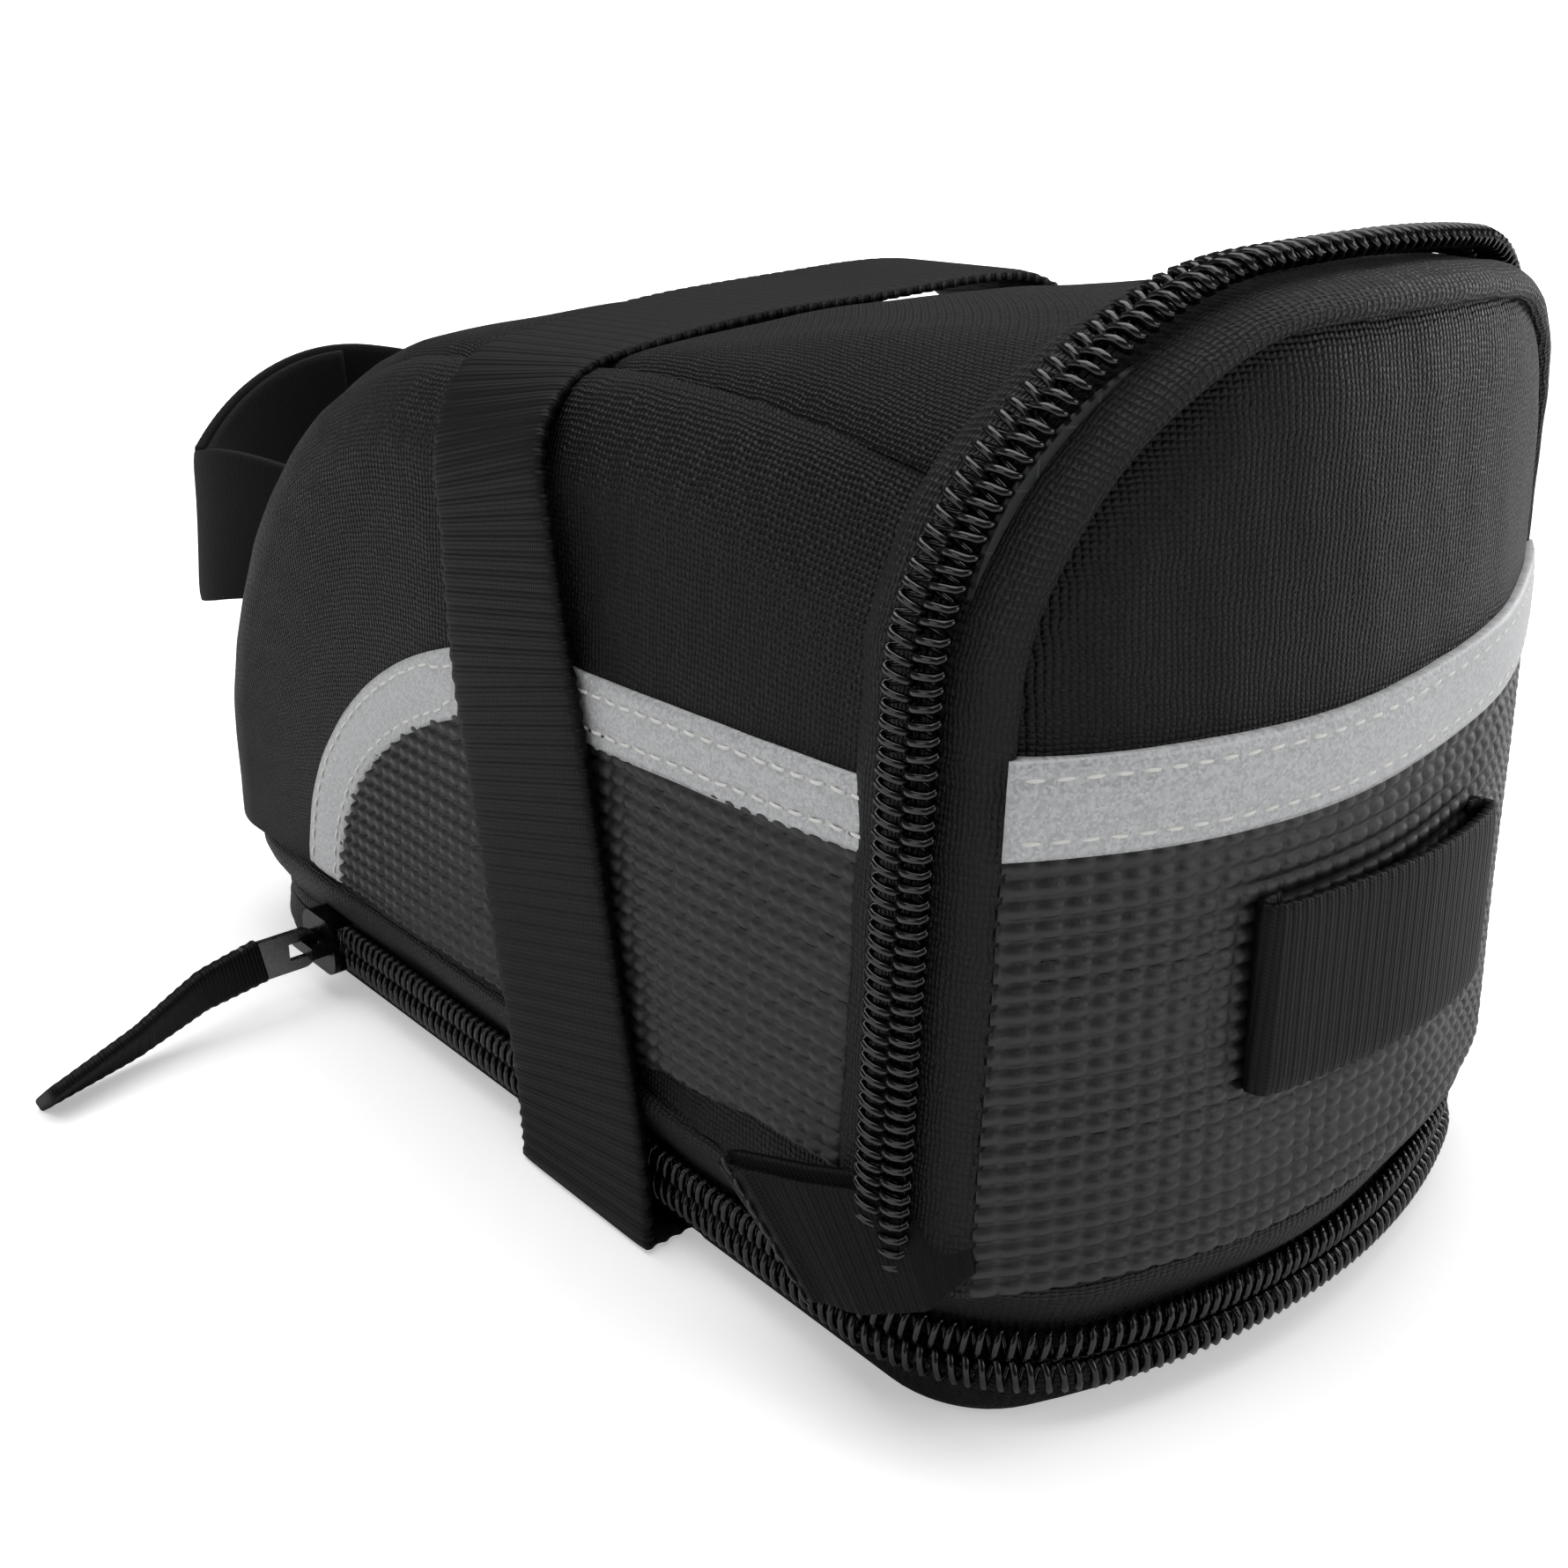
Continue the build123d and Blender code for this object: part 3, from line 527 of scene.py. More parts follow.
# ---- geometry nodes: what repeats along a line ---------------------------------------------------
def repeat_tree():
    """Places a motif along a line at an even pitch: its x runs along the line, its z points outwards."""
    tree = bpy.data.node_groups.new("repeat_along", "GeometryNodeTree")
    for name, kind in (("Line", "Geometry"), ("Motif", "Object"), ("Pitch", "Float"),
                       ("Unevenness", "Float"), ("Seed", "Int"), ("Finish", "Material")):
        tree.interface.new_socket(name=name, in_out="INPUT", socket_type="NodeSocket" + kind)
    tree.interface.new_socket(name="Result", in_out="OUTPUT", socket_type="NodeSocketGeometry")
    g = node(tree, "NodeGroupInput").outputs
    curve = node(tree, "GeometryNodeMeshToCurve", {"Mesh": g["Line"]})
    even = node(tree, "GeometryNodeResampleCurve",
                {"Curve": curve.outputs[0], "Length": g["Pitch"]}, mode="LENGTH")
    tangent = node(tree, "GeometryNodeInputTangent")
    out = node(tree, "GeometryNodeInputNamedAttribute", data_type="FLOAT_VECTOR", Name="outward")
    along = node(tree, "FunctionNodeAlignRotationToVector", {"Vector": tangent.outputs[0]}, axis="X")
    facing = node(tree, "FunctionNodeAlignRotationToVector",
                  {"Rotation": along.outputs[0], "Vector": out.outputs[0]}, axis="Z", pivot_axis="X")
    shake = node(tree, "FunctionNodeRandomValue", {"Seed": g["Seed"]}, data_type="FLOAT")
    low = node(tree, "ShaderNodeMath", {0: g["Unevenness"]}, operation="MULTIPLY")
    low.inputs[1].default_value = -1.0
    tree.links.new(low.outputs[0], shake.inputs[2])
    tree.links.new(g["Unevenness"], shake.inputs[3])
    yaw = node(tree, "ShaderNodeCombineXYZ", {2: shake.outputs[1]})
    turned = node(tree, "FunctionNodeRotateRotation",
                  {"Rotation": facing.outputs[0]}, rotation_space="LOCAL")
    tree.links.new(yaw.outputs[0], turned.inputs[1])
    motif = node(tree, "GeometryNodeObjectInfo", {"Object": g["Motif"]})
    placed = node(tree, "GeometryNodeInstanceOnPoints", {
        "Points": even.outputs[0], "Instance": motif.outputs["Geometry"], "Rotation": turned.outputs[0]})
    real = node(tree, "GeometryNodeRealizeInstances", {0: placed.outputs[0]})
    finish = node(tree, "GeometryNodeSetMaterial", {"Geometry": real.outputs[0], "Material": g["Finish"]})
    node(tree, "NodeGroupOutput", {0: finish.outputs[0]})
    return tree


REPEAT = repeat_tree()


def repeat_along(name, line, outward, motif, pitch, finish, unevenness, seed):
    """Runs the tree on one line and returns the result as a plain mesh."""
    mesh = bpy.data.meshes.new(name + "_line")
    edges = [(i, i + 1) for i in range(len(line) - 1)]
    mesh.from_pydata((np.asarray(line) * MM).tolist(), edges, [])
    attribute = mesh.attributes.new("outward", "FLOAT_VECTOR", "POINT")
    attribute.data.foreach_set("vector", np.asarray(outward, np.float32).ravel())
    carrier = bpy.data.objects.new(name + "_line", mesh)
    bpy.context.collection.objects.link(carrier)
    modifier = carrier.modifiers.new("repeat", "NODES")
    modifier.node_group = REPEAT
    sockets = {s.name: s.identifier for s in REPEAT.interface.items_tree if s.in_out == "INPUT"}
    modifier[sockets["Motif"]] = motif
    modifier[sockets["Pitch"]] = pitch * MM
    modifier[sockets["Unevenness"]] = unevenness
    modifier[sockets["Seed"]] = seed
    modifier[sockets["Finish"]] = finish
    graph = bpy.context.evaluated_depsgraph_get()
    made = bpy.data.meshes.new_from_object(carrier.evaluated_get(graph), depsgraph=graph)
    made.name = name
    bpy.data.objects.remove(carrier)
    obj = bpy.data.objects.new(name, made)
    bpy.context.collection.objects.link(obj)
    made.polygons.foreach_set("use_smooth", np.ones(len(made.polygons), bool))
    return obj


def tube(points, radius, around=6, flat=1.0, caps=True):
    """Vertices and faces of a round bar along a line."""
    p = np.asarray(points, float)
    t = unit(np.gradient(p, axis=0))
    side = unit(np.cross(t, [0.0, 0.03, 1.0]))
    up = np.cross(side, t)
    turn = np.linspace(0, 2 * math.pi, around, endpoint=False)
    ring = (p[:, None] + radius * np.cos(turn)[None, :, None] * side[:, None]
            + radius * flat * np.sin(turn)[None, :, None] * up[:, None])
    faces = grid_faces(len(p), around, closed_cols=True, flip=True).tolist()
    if caps:
        faces.append(list(range(around)))
        faces.append([(len(p) - 1) * around + k for k in reversed(range(around))])
    return ring.reshape(-1, 3), faces


MOTIFS = bpy.data.collections.new("motifs")
COIL_PITCH = 1.5


def motif(name, vertices, faces):
    """A small mesh kept out of the scene, used only by the tree."""
    mesh = bpy.data.meshes.new(name)
    mesh.from_pydata((np.asarray(vertices) * MM).tolist(), [], faces)
    mesh.polygons.foreach_set("use_smooth", np.ones(len(mesh.polygons), bool))
    obj = bpy.data.objects.new(name, mesh)
    MOTIFS.objects.link(obj)
    return obj


def stitch_motif(length, width):
    s = np.linspace(0, 1, 5)
    line = np.stack([(s - 0.5) * length, s * 0, np.sin(s * math.pi) * width * 0.55 - width * 0.25], axis=1)
    return motif("stitch", *tube(line, width / 2, 6, 0.7))


def coil_motif(side, pitch, width, height, wire):
    """One turn of a zip coil: up from the sewn edge, round the head at the middle, and back under."""
    a = np.linspace(0, 2 * math.pi, 11)
    x = (a / (2 * math.pi) - 0.5) * pitch
    y = side * (0.12 + width / 2 - width / 2 * np.cos(a + math.pi) * -1)
    z = height / 2 + height / 2 * np.sin(a) * 0.95
    swell = np.stack([x, y, z], axis=1)
    return motif("coil_turn", *tube(swell, wire, 6, 1.0, caps=False))


def coil_row(name, line, outward, side, seed=3):
    """One side of a zip: turns of monofilament, from the sewn edge to the middle line."""
    turn = coil_motif(side, COIL_PITCH, width=3.2, height=1.75, wire=0.42)
    return repeat_along(name, line, outward, turn, COIL_PITCH, COIL, 0.05, seed)


def finish_mesh(obj):
    """Turns every face of a closed mesh outwards."""
    bm = bmesh.new()
    bm.from_mesh(obj.data)
    bmesh.ops.remove_doubles(bm, verts=bm.verts, dist=1e-7)
    bmesh.ops.recalc_face_normals(bm, faces=bm.faces)
    bm.to_mesh(obj.data)
    bm.free()
    return obj


def put(obj, body, replaces=()):
    """Says which body a piece rides on and hides the CAD nodes it stands for."""
    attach(obj, body)
    if replaces:
        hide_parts(*replaces)
    return obj


# ---- the bag's woven and padded walls -----------------------------------------------------------
WALL_T = 3.8
SPINE_MID = 60.0


def panel_stations():
    """Origins and directions down the middle: up along the top, round the nose, forward at its foot."""
    stations = []
    for y in np.arange(-72.0, NOSE_Y, 1.3):
        stations.append((y, SPINE_MID, 0.0, 1.0))
    for turn in np.radians(np.arange(90.0, 0.0, -1.25)):
        stations.append((NOSE_Y + 28.5 * math.cos(turn), NOSE_Z + 28.5 * math.sin(turn),
                         math.cos(turn), math.sin(turn)))
    for z in np.arange(NOSE_Z, PANEL_Z0 - 0.1, -1.25):
        stations.append((NOSE_Y + 28.5, z, 1.0, 0.0))
    return np.array(stations)


STATIONS = panel_stations()


def station_surface(angles, row_shift=None):
    """Surface points for each station (rows) at each angle across (columns)."""
    y, z, dy, dz = STATIONS.T
    start = np.zeros((len(y), angles.shape[1], 3))
    start[..., 1] = y[:, None]
    start[..., 2] = z[:, None]
    if row_shift is not None:
        start[..., 1] += row_shift
    step = np.stack([np.sin(angles), np.cos(angles) * dy[:, None], np.cos(angles) * dz[:, None]], axis=-1)
    return cast(body_level, start, step)


def rear_shift(points):
    """How far each point of the first rows moves so that the panel starts along the zip's tape."""
    edge = rear_y(points[0, :, 0], points[0, :, 2]) + PANEL_REAR - 0.6
    share = np.clip((-40.0 - STATIONS[:, 0]) / 32.0, 0, 1)[:, None]
    return (edge[None, :] - STATIONS[0, 0]) * share


def seam_angles():
    """The angle across at which each station meets the seam between the top and the side."""
    trial = np.tile(np.radians(np.linspace(15, 80, 66)), (len(STATIONS), 1))
    x = station_surface(trial)[..., 0]
    y = STATIONS[:, 0]
    wanted = np.interp(y, [-72, -46, -33, -9.6, 14, 42.5], [40.8, 39.8, 39.0, 37.6, 37.4, 38.2])
    wanted = wanted + 2.0 * smooth_step(31.5, 19.0, STATIONS[:, 1]) * (STATIONS[:, 2] > 0.9)
    return np.array([np.interp(wanted[i], x[i], trial[i]) for i in range(len(y))])


SEAM = seam_angles()


def seam_tuck(distance, depth=0.9, width=2.2):
    return -depth * np.exp(-(distance / width) ** 2)


def top_panel():
    across = np.linspace(-1, 1, 75)
    angles = SEAM[:, None] * across[None, :]
    first = station_surface(angles)
    p = station_surface(angles, rear_shift(first))
    edge = (1 - np.abs(across))[None, :] * 38.0
    dent = seam_tuck(edge) + 0.35 * ripple(p, 34.0, 5) + 0.12 * ripple(p, 9.0, 6)
    dent = dent * np.ones_like(p[..., 0])
    strap = np.abs(p[..., 1] - (STRAP_Y0 + STRAP_LEAN * p[..., 2]))
    depth = (p[..., 2] > 60) * (1 - 0.6 * smooth_step(-8.0, 12.0, p[..., 0]))
    dent -= (2.3 * np.exp(-(strap / 14.5) ** 4) + 1.1 * np.exp(-(strap / 24.0) ** 2)) * depth
    return shell("top_and_nose", p, WALL_T, [CLOTH, LINING], outward=np.array([0, 0.3, 1.0]), push=dent), p


def lining(name, p, outward, replaced=()):
    """The thin cloth that faces the padding on its inner side."""
    n = grid_normals(p)
    n = n if np.mean(np.sum(n * outward, axis=-1)) > 0 else -n
    made = shell(name, p - n * (WALL_T + 0.1), 0.5, [LINING], outward=outward)
    put(made, "bag", replaced)


TOP, TOP_POINTS = top_panel()
put(TOP, "bag", ("top_nose_panel", "top_foam", "nose_foam"))
lining("top_lining", TOP_POINTS, np.array([0, 0.3, 1.0]), ("lining",))


def side_grid(sign):
    """The side wall from its foot (column 0) up to the seam, front to rear as the stations run."""
    seam = TOP_POINTS[:, 0 if sign < 0 else -1]
    keep = seam[:, 2] > PANEL_Z0 + 1.0
    seam = seam[keep]
    foot_y = seam[:, 1].copy()
    low = rear_y(half_width(PANEL_Z0), PANEL_Z0) + PANEL_REAR - 0.6
    ahead = seam[:, 1] > NOSE_Y - 20
    share = (seam[:, 1] - (NOSE_Y - 20)) / (seam[:, 1].max() - (NOSE_Y - 20))
    turned = np.cumsum(np.linalg.norm(np.diff(seam, axis=0, prepend=seam[:1]), axis=1))
    t0 = turned[np.argmax(ahead)]
    along = np.clip((turned - t0) / (turned[-1] - t0), 0, 1)
    foot_y = np.where(ahead, NOSE_Y - 20 + (seam[-1, 1] - 0.4 - (NOSE_Y - 20)) * along**0.9, foot_y)
    back = np.clip((-40.0 - foot_y) / (-40.0 - foot_y[0]), 0, 1)
    foot_y = foot_y + (low - foot_y[0]) * back
    v = np.linspace(0, 1, 62)[None, :]
    y = foot_y[:, None] * (1 - v) + seam[:, 1][:, None] * v
    z = PANEL_Z0 * (1 - v) + seam[:, 2][:, None] * v
    return side_cast(sign, y, z)


def side_cast(sign, y, z):
    start = np.stack([y * 0, y, z], axis=-1)
    step = np.zeros_like(start)
    step[..., 0] = sign
    return cast(body_level, start, step)


def side_relief(p):
    """Softness of the side wall: broad waves, the strap's pull, and a tuck towards the zip's corner."""
    dent = 0.4 * ripple(p, 38.0, 11) + 0.12 * ripple(p, 10.0, 12)
    strap = np.abs(p[..., 1] - (STRAP_Y0 + STRAP_LEAN * p[..., 2]))
    dent -= 0.5 * np.exp(-(strap / 15.0) ** 4)
    crease = np.hypot((p[..., 1] + 66) / 16.0, (p[..., 2] - 86) / 7.0)
    dent -= 1.1 * np.exp(-crease**2)
    return dent


def side_wall(sign, name, word):
    p = side_grid(sign)
    edge = np.linalg.norm(p - p[:, -1:], axis=-1)
    dent = side_relief(p) + seam_tuck(edge)
    made = shell(name, p, WALL_T, [CLOTH, LINING], outward=np.array([sign, 0, 0.2]), push=dent)
    put(made, "bag", (f"side_panel_{word}_upper", f"side_foam_{word}"))
    lining(f"side_lining_{word}", p, np.array([sign, 0, 0.2]))


BAND_CENTRE_Y, BAND_CENTRE_Z, BAND_A, BAND_B, BAND_N = -20.0, 19.0, 59.5, 42.0, 2.0


def band_height(y):
    q = np.clip((np.maximum(y, BAND_CENTRE_Y) - BAND_CENTRE_Y) / BAND_A, 0, 1)
    curve = BAND_CENTRE_Z + BAND_B * (1 - q**BAND_N) ** (1 / BAND_N)
    return curve + 0.05 * np.maximum(BAND_CENTRE_Y - y, 0)


def band_path():
    """The side band's middle line in (y, z), from the zip forwards and down to the skirt."""
    back = [(y, float(band_height(np.array(y)))) for y in np.linspace(-65.5, BAND_CENTRE_Y, 30)]
    turn = np.radians(np.linspace(90, 1.5, 90))
    front = np.stack([BAND_CENTRE_Y + BAND_A * np.cos(turn) ** (2 / BAND_N),
                      BAND_CENTRE_Z + BAND_B * np.sin(turn) ** (2 / BAND_N)], axis=1)
    line = np.vstack([back[:-1], front])
    return resample(line, spacing=0.9)[0]


def foot_line(y):
    """Lower edge of the embossed side panel, which rises towards the rear."""
    return 20.2 + 5.2 * smooth_step(-12.0, -58.0, y)


def dimples(u, v, pitch_u=2.45, pitch_v=2.05):
    """Embossed grid: soft cushions in rows, with a deeper slot under each one."""
    a = (u / pitch_u) % 1.0 - 0.5
    b = (v / pitch_v) % 1.0 - 0.5
    cushion = np.clip(1 - (np.abs(a) / 0.5) ** 2.4 - (np.abs(b) / 0.5) ** 2.2, 0, 1) ** 0.6
    low = np.minimum((b + 0.5), 1 - (b + 0.5))
    slot = np.exp(-((np.abs(a) / 0.36) ** 4) - (low / 0.14) ** 2)
    return 0.45 * cushion - 0.4 * slot


def side_vinyl(sign, name, word):
    y0 = rear_y(half_width(40.0), 40.0) + PANEL_REAR - 1.0
    y = np.arange(y0, BAND_CENTRE_Y + BAND_A - 0.4, 0.42)
    low, high = foot_line(y), band_height(y) + 0.6
    high = np.maximum(high, low + 0.5)
    v = np.linspace(0, 1, 100)
    yy = np.repeat(y[:, None], len(v), axis=1)
    zz = low[:, None] * (1 - v) + high[:, None] * v
    p = side_cast(sign, yy, zz)
    run = np.concatenate([[0], np.cumsum(np.linalg.norm(np.diff(p[:, 50], axis=0), axis=1))])
    lift = side_relief(p) + 0.25 + dimples(np.repeat(run[:, None], len(v), axis=1), zz - 19.0)
    uv = np.stack([np.repeat(run[:, None], len(v), axis=1), zz], axis=-1)
    made = shell(name, p, 0.9, [VINYL], uv=uv, outward=np.array([sign, 0, 0]), push=lift)
    put(made, "bag", (f"side_panel_{word}_lower",))


def side_band(sign, name, word):
    line = band_path()
    tangent = unit(np.gradient(line, axis=0))
    normal = np.stack([-tangent[:, 1], tangent[:, 0]], axis=1)
    width = np.interp(np.arange(len(line)), [0, len(line) * 0.55, len(line) - 1], [7.4, 8.6, 9.0])
    t = np.linspace(-0.5, 0.5, 13)
    across = t[None, :] * width[:, None]
    yy = line[:, 0][:, None] + normal[:, 0][:, None] * across
    zz = np.maximum(line[:, 1][:, None] + normal[:, 1][:, None] * across, PANEL_Z0)
    p = side_cast(sign, yy, zz)
    lift = side_relief(p) + 0.85 - 0.35 * (np.abs(t)[None, :] * 2) ** 6
    sew = np.exp(-((np.abs(across) - width[:, None] / 2 + 1.8) / 0.5) ** 2)
    made = shell(name, p, 0.8, [FILM], outward=np.array([sign, 0, 0]), push=lift - 0.22 * sew)
    put(made, "bag", (f"reflective_band_{word}",))
    n = grid_normals(p)
    n = n * np.sign(np.sum(n * np.array([sign, 0, 0]), axis=-1))[..., None]
    rows = []
    for sides in (-1, 1):
        k = [int(round((0.5 + sides * (0.5 - 1.8 / w)) * 12)) for w in width]
        pick = np.array([p[i, k[i]] + n[i, k[i]] * (lift[i, k[i]] - 0.1) for i in range(len(line))])
        outward = np.array([n[i, k[i]] for i in range(len(line))])
        edge = "low" if sides < 0 else "high"
        rows.append(sew_line(f"{name}_stitches_{edge}", pick[2:-2], outward[2:-2]))
    for r in rows:
        put(r, "bag")


STITCH = stitch_motif(1.9, 0.42)


def sew_line(name, line, outward, finish=WHITE_THREAD, pitch=2.7, seed=9):
    """A row of stitches along a line that lies on a piece."""
    smooth, s = resample(line, spacing=0.6)
    run = np.concatenate([[0], np.cumsum(np.linalg.norm(np.diff(line, axis=0), axis=1))])
    out = np.stack([np.interp(s, run, outward[:, k]) for k in range(3)], axis=1)
    return repeat_along(name, smooth, unit(out), STITCH, pitch, finish, 0.1, seed)


for sign, word in ((-1, "left"), (1, "right")):
    side_wall(sign, f"side_wall_{word}", word)
    side_vinyl(sign, f"side_vinyl_{word}", word)
    side_band(sign, f"side_band_{word}", word)


# ---- rear door -----------------------------------------------------------------------------------
ARCH, ARCH_N = arch_outline()


def arch_strip(name, profile, thickness, finish, relief):
    """A strip sewn round the arch: profile lists (outwards, forward) from the door's side to the bag's."""
    profile = np.asarray(profile, float)
    fine, _ = resample(profile, spacing=0.55)
    line, normal = ARCH[:, None, :], ARCH_N[:, None, :]
    d, fwd = fine[None, :, 0], fine[None, :, 1]
    x = line[..., 0] + normal[..., 0] * d
    z = line[..., 1] + normal[..., 1] * d
    inner = np.minimum(d, 0)
    y = rear_y(line[..., 0] + normal[..., 0] * inner, line[..., 1] + normal[..., 1] * inner) + fwd
    p = np.stack([x, y, z], axis=-1)
    outward = np.stack([x, y * 0 - 20, z - 55], axis=-1)
    wave = relief * ripple(p, 14.0, 21)
    return shell(name, p, thickness, [finish], outward=outward, push=wave)


DOOR_TAPE = [(-2.4, 0.6), (-2.2, -0.3), (-1.4, -0.9), (-0.5, -0.7), (0.3, 0.1), (0.8, 1.4),
             (1.0, 2.8), (0.9, 4.4), (0.9, CHAIN_Y - 0.15)]
BODY_TAPE = [(0.9, CHAIN_Y + 0.15), (0.9, 10.0), (1.2, 11.6), (1.0, 13.6), (0.2, 15.2), (-0.9, 15.9)]
put(arch_strip("door_zip_tape_knit", DOOR_TAPE, 0.9, TAPE, 0.15), "door", ("door_zip_tape",))
put(arch_strip("body_zip_tape_knit", BODY_TAPE, 0.9, TAPE, 0.15), "bag", ("body_zip_tape",))


def arch_line(d, fwd, first=0, last=None):
    line, normal = ARCH[first:last], ARCH_N[first:last]
    y = rear_y(line[:, 0], line[:, 1]) + fwd
    p = np.stack([line[:, 0] + normal[:, 0] * d, y, line[:, 1] + normal[:, 1] * d], axis=1)
    out = np.stack([normal[:, 0], normal[:, 0] * 0, normal[:, 1]], axis=1)
    return p, out


CHAIN_LINE, CHAIN_OUT = arch_line(1.35, CHAIN_Y, 2, -22)
CHAIN_LINE, run = resample(CHAIN_LINE, spacing=0.5)
CHAIN_OUT = unit(np.stack([np.interp(np.linspace(0, 1, len(run)), np.linspace(0, 1, len(CHAIN_OUT)),
                                     CHAIN_OUT[:, k]) for k in range(3)], axis=1))
put(coil_row("body_coil", CHAIN_LINE, CHAIN_OUT, 1), "bag", ("body_zip_coil",))
half_pitch = unit(CHAIN_LINE[1:2] - CHAIN_LINE[:1]) * COIL_PITCH / 2
put(coil_row("door_coil", CHAIN_LINE + half_pitch, CHAIN_OUT, -1), "door", ("door_zip_coil",))


def door_y(x, z, proud=0.0):
    """The door's outer face, softly padded, drawn in where it meets the tape."""
    width = half_width(z) - 1.6
    edge = np.clip(width - np.abs(x), 0, None)
    wave = 0.45 * ripple(np.stack([x, x * 0, z], axis=-1), 42.0, 31) * np.clip(edge / 12.0, 0, 1)
    return rear_y(x, z) - 0.3 - 0.7 * (1 - np.exp(-edge / 6.0)) - wave - proud


def door_cloth():
    """The door's padded face, a fan of rows from its middle out to the tape, with the foot left straight."""
    outline = np.vstack([ARCH, np.stack([np.linspace(ARCH[-1, 0], ARCH[0, 0], 120)[1:-1],
                                         np.full(118, ARCH[0, 1])], axis=1)])
    normal = np.vstack([ARCH_N, np.tile([0.0, -1.0], (118, 1))])
    inset = np.where(np.arange(len(outline)) < len(ARCH), 1.7, 0.2)[:, None]
    rim = outline - normal * inset
    centre = np.array([0.0, 58.0])
    share = np.linspace(0, 1, 90) ** 0.8
    flat = centre + (rim[:, None, :] - centre) * share[None, ::-1, None]
    x, z = flat[..., 0], flat[..., 1]
    edge = np.linalg.norm(flat - rim[:, None, :], axis=-1)
    p = np.stack([x, door_y(x, z), z], axis=-1)
    p[..., 1] += 0.7 * np.exp(-(edge / 1.6) ** 2) * (z > 22) - 0.08 * ripple(p, 9.0, 32)
    p[..., 1] += 0.9 * smooth_step(8.0, 0.0, edge) * smooth_step(60.0, 90.0, z)
    back = p.copy()
    back[..., 1] = rear_y(x, z) + 3.2
    rows, cols = p.shape[:2]
    count = rows * cols
    faces = np.concatenate([grid_faces(rows, cols, closed_rows=True),
                            grid_faces(rows, cols, closed_rows=True, offset=count, flip=True)])
    index = np.arange(rows) * cols
    nxt = (np.arange(rows) + 1) % rows * cols
    rim_faces = np.stack([index, index + count, nxt + count, nxt], axis=1)
    uv = np.stack([x, z], axis=-1)
    which = np.concatenate([np.zeros(len(faces) // 2), np.ones(len(faces) // 2), np.zeros(len(rim_faces))])
    made = new_object("door_face", np.concatenate([p.reshape(-1, 3), back.reshape(-1, 3)]),
                      np.concatenate([faces, rim_faces]), np.concatenate([uv.reshape(-1, 2)] * 2),
                      [CLOTH, LINING], which)
    return finish_mesh(made)


put(door_cloth(), "door", ("door_panel_upper", "door_foam"))


DOOR_BAND_Z0 = 63.8


def door_rise(x):
    """The soft door is drawn up a little at its right, and its band with it."""
    return 4.6 * smooth_step(-20.0, 52.0, x)


def door_grid(z0, z1, step_x, step_z, inset):
    z = np.arange(z0, z1 + 1e-6, step_z)
    half = half_width(z) - inset
    u = np.linspace(-1, 1, int(2 * half.max() / step_x))
    x = u[:, None] * half[None, :]
    zz = np.repeat(z[None, :], len(u), axis=0)
    return x, zz + door_rise(x) * np.clip((zz - 20.0) / (DOOR_BAND_Z0 - 20.0), 0, 1)


def door_vinyl():
    x, z = door_grid(19.4, 64.6, 0.4, 0.4, 1.5)
    p = np.stack([x, door_y(x, z), z], axis=-1)
    flat = np.repeat(np.arange(19.4, 64.6 + 1e-6, 0.4)[None, :], len(x), axis=0)
    lift = 0.3 + dimples(x + 0.6, flat - 19.0)
    uv = np.stack([x, z], axis=-1)
    made = shell("door_vinyl", p, 0.9, [VINYL], uv=uv, outward=np.array([0, -1.0, 0]), push=lift)
    put(made, "door", ("door_panel_lower",))


door_vinyl()


def door_band():
    x, z = door_grid(DOOR_BAND_Z0, DOOR_BAND_Z0 + BAND_W, 1.0, 0.575, 1.4)
    p = np.stack([x, door_y(x, z), z], axis=-1)
    t = (z - z[:, :1]) / BAND_W
    sew = np.exp(-((np.minimum(t, 1 - t) * BAND_W - 1.8) / 0.5) ** 2)
    lift = 1.2 - 0.4 * np.abs(2 * t - 1) ** 6 - 0.22 * sew
    made = shell("door_band", p, 0.9, [FILM], outward=np.array([0, -1.0, 0]), push=lift)
    put(made, "door", ("reflective_band_rear",))
    n = grid_normals(p)
    n = n * np.sign(n[..., 1:2]) * -1
    for word, k in (("low", 3), ("high", -4)):
        line = p[:, k] + n[:, k] * (lift[:, k, None] - 0.05)
        put(sew_line(f"door_band_stitches_{word}", line[2:-2], n[2:-2, k], seed=17), "door")


door_band()


# ---- skirt, base and their zip -------------------------------------------------------------------
PLAN, PLAN_N = plan_outline()
SKIRT = [(0.1, 10.3), (0.5, 11.2), (1.5, 12.8), (2.8, 14.8), (3.6, 16.8), (3.7, 18.2), (2.9, 19.0),
         (1.4, 18.9), (0.4, 16.0), (-1.2, 12.6), (-1.2, 10.3)]
TAPE_UP = [(0.25, 8.2), (0.35, 9.4), (0.15, 10.5), (-1.0, 10.6), (-1.0, 8.2)]
TAPE_LOW = [(0.25, 7.9), (0.45, 6.6), (0.75, 5.0), (0.9, 3.9), (0.3, 3.3), (-1.0, 3.3), (-1.0, 7.9)]


def smooth_profile(profile, spacing=0.5):
    return resample(np.asarray(profile, float), spacing=spacing, closed=True)[0]


def skirt_wave(p):
    out = np.zeros_like(p)
    n = np.concatenate([PLAN_N, PLAN_N[:, :1] * 0], axis=1)
    out += (0.35 * ripple(p, 26.0, 51) * np.clip((p[..., 2] - 10.4) / 3, 0, 1))[..., None] * n[:, None, :]
    return out


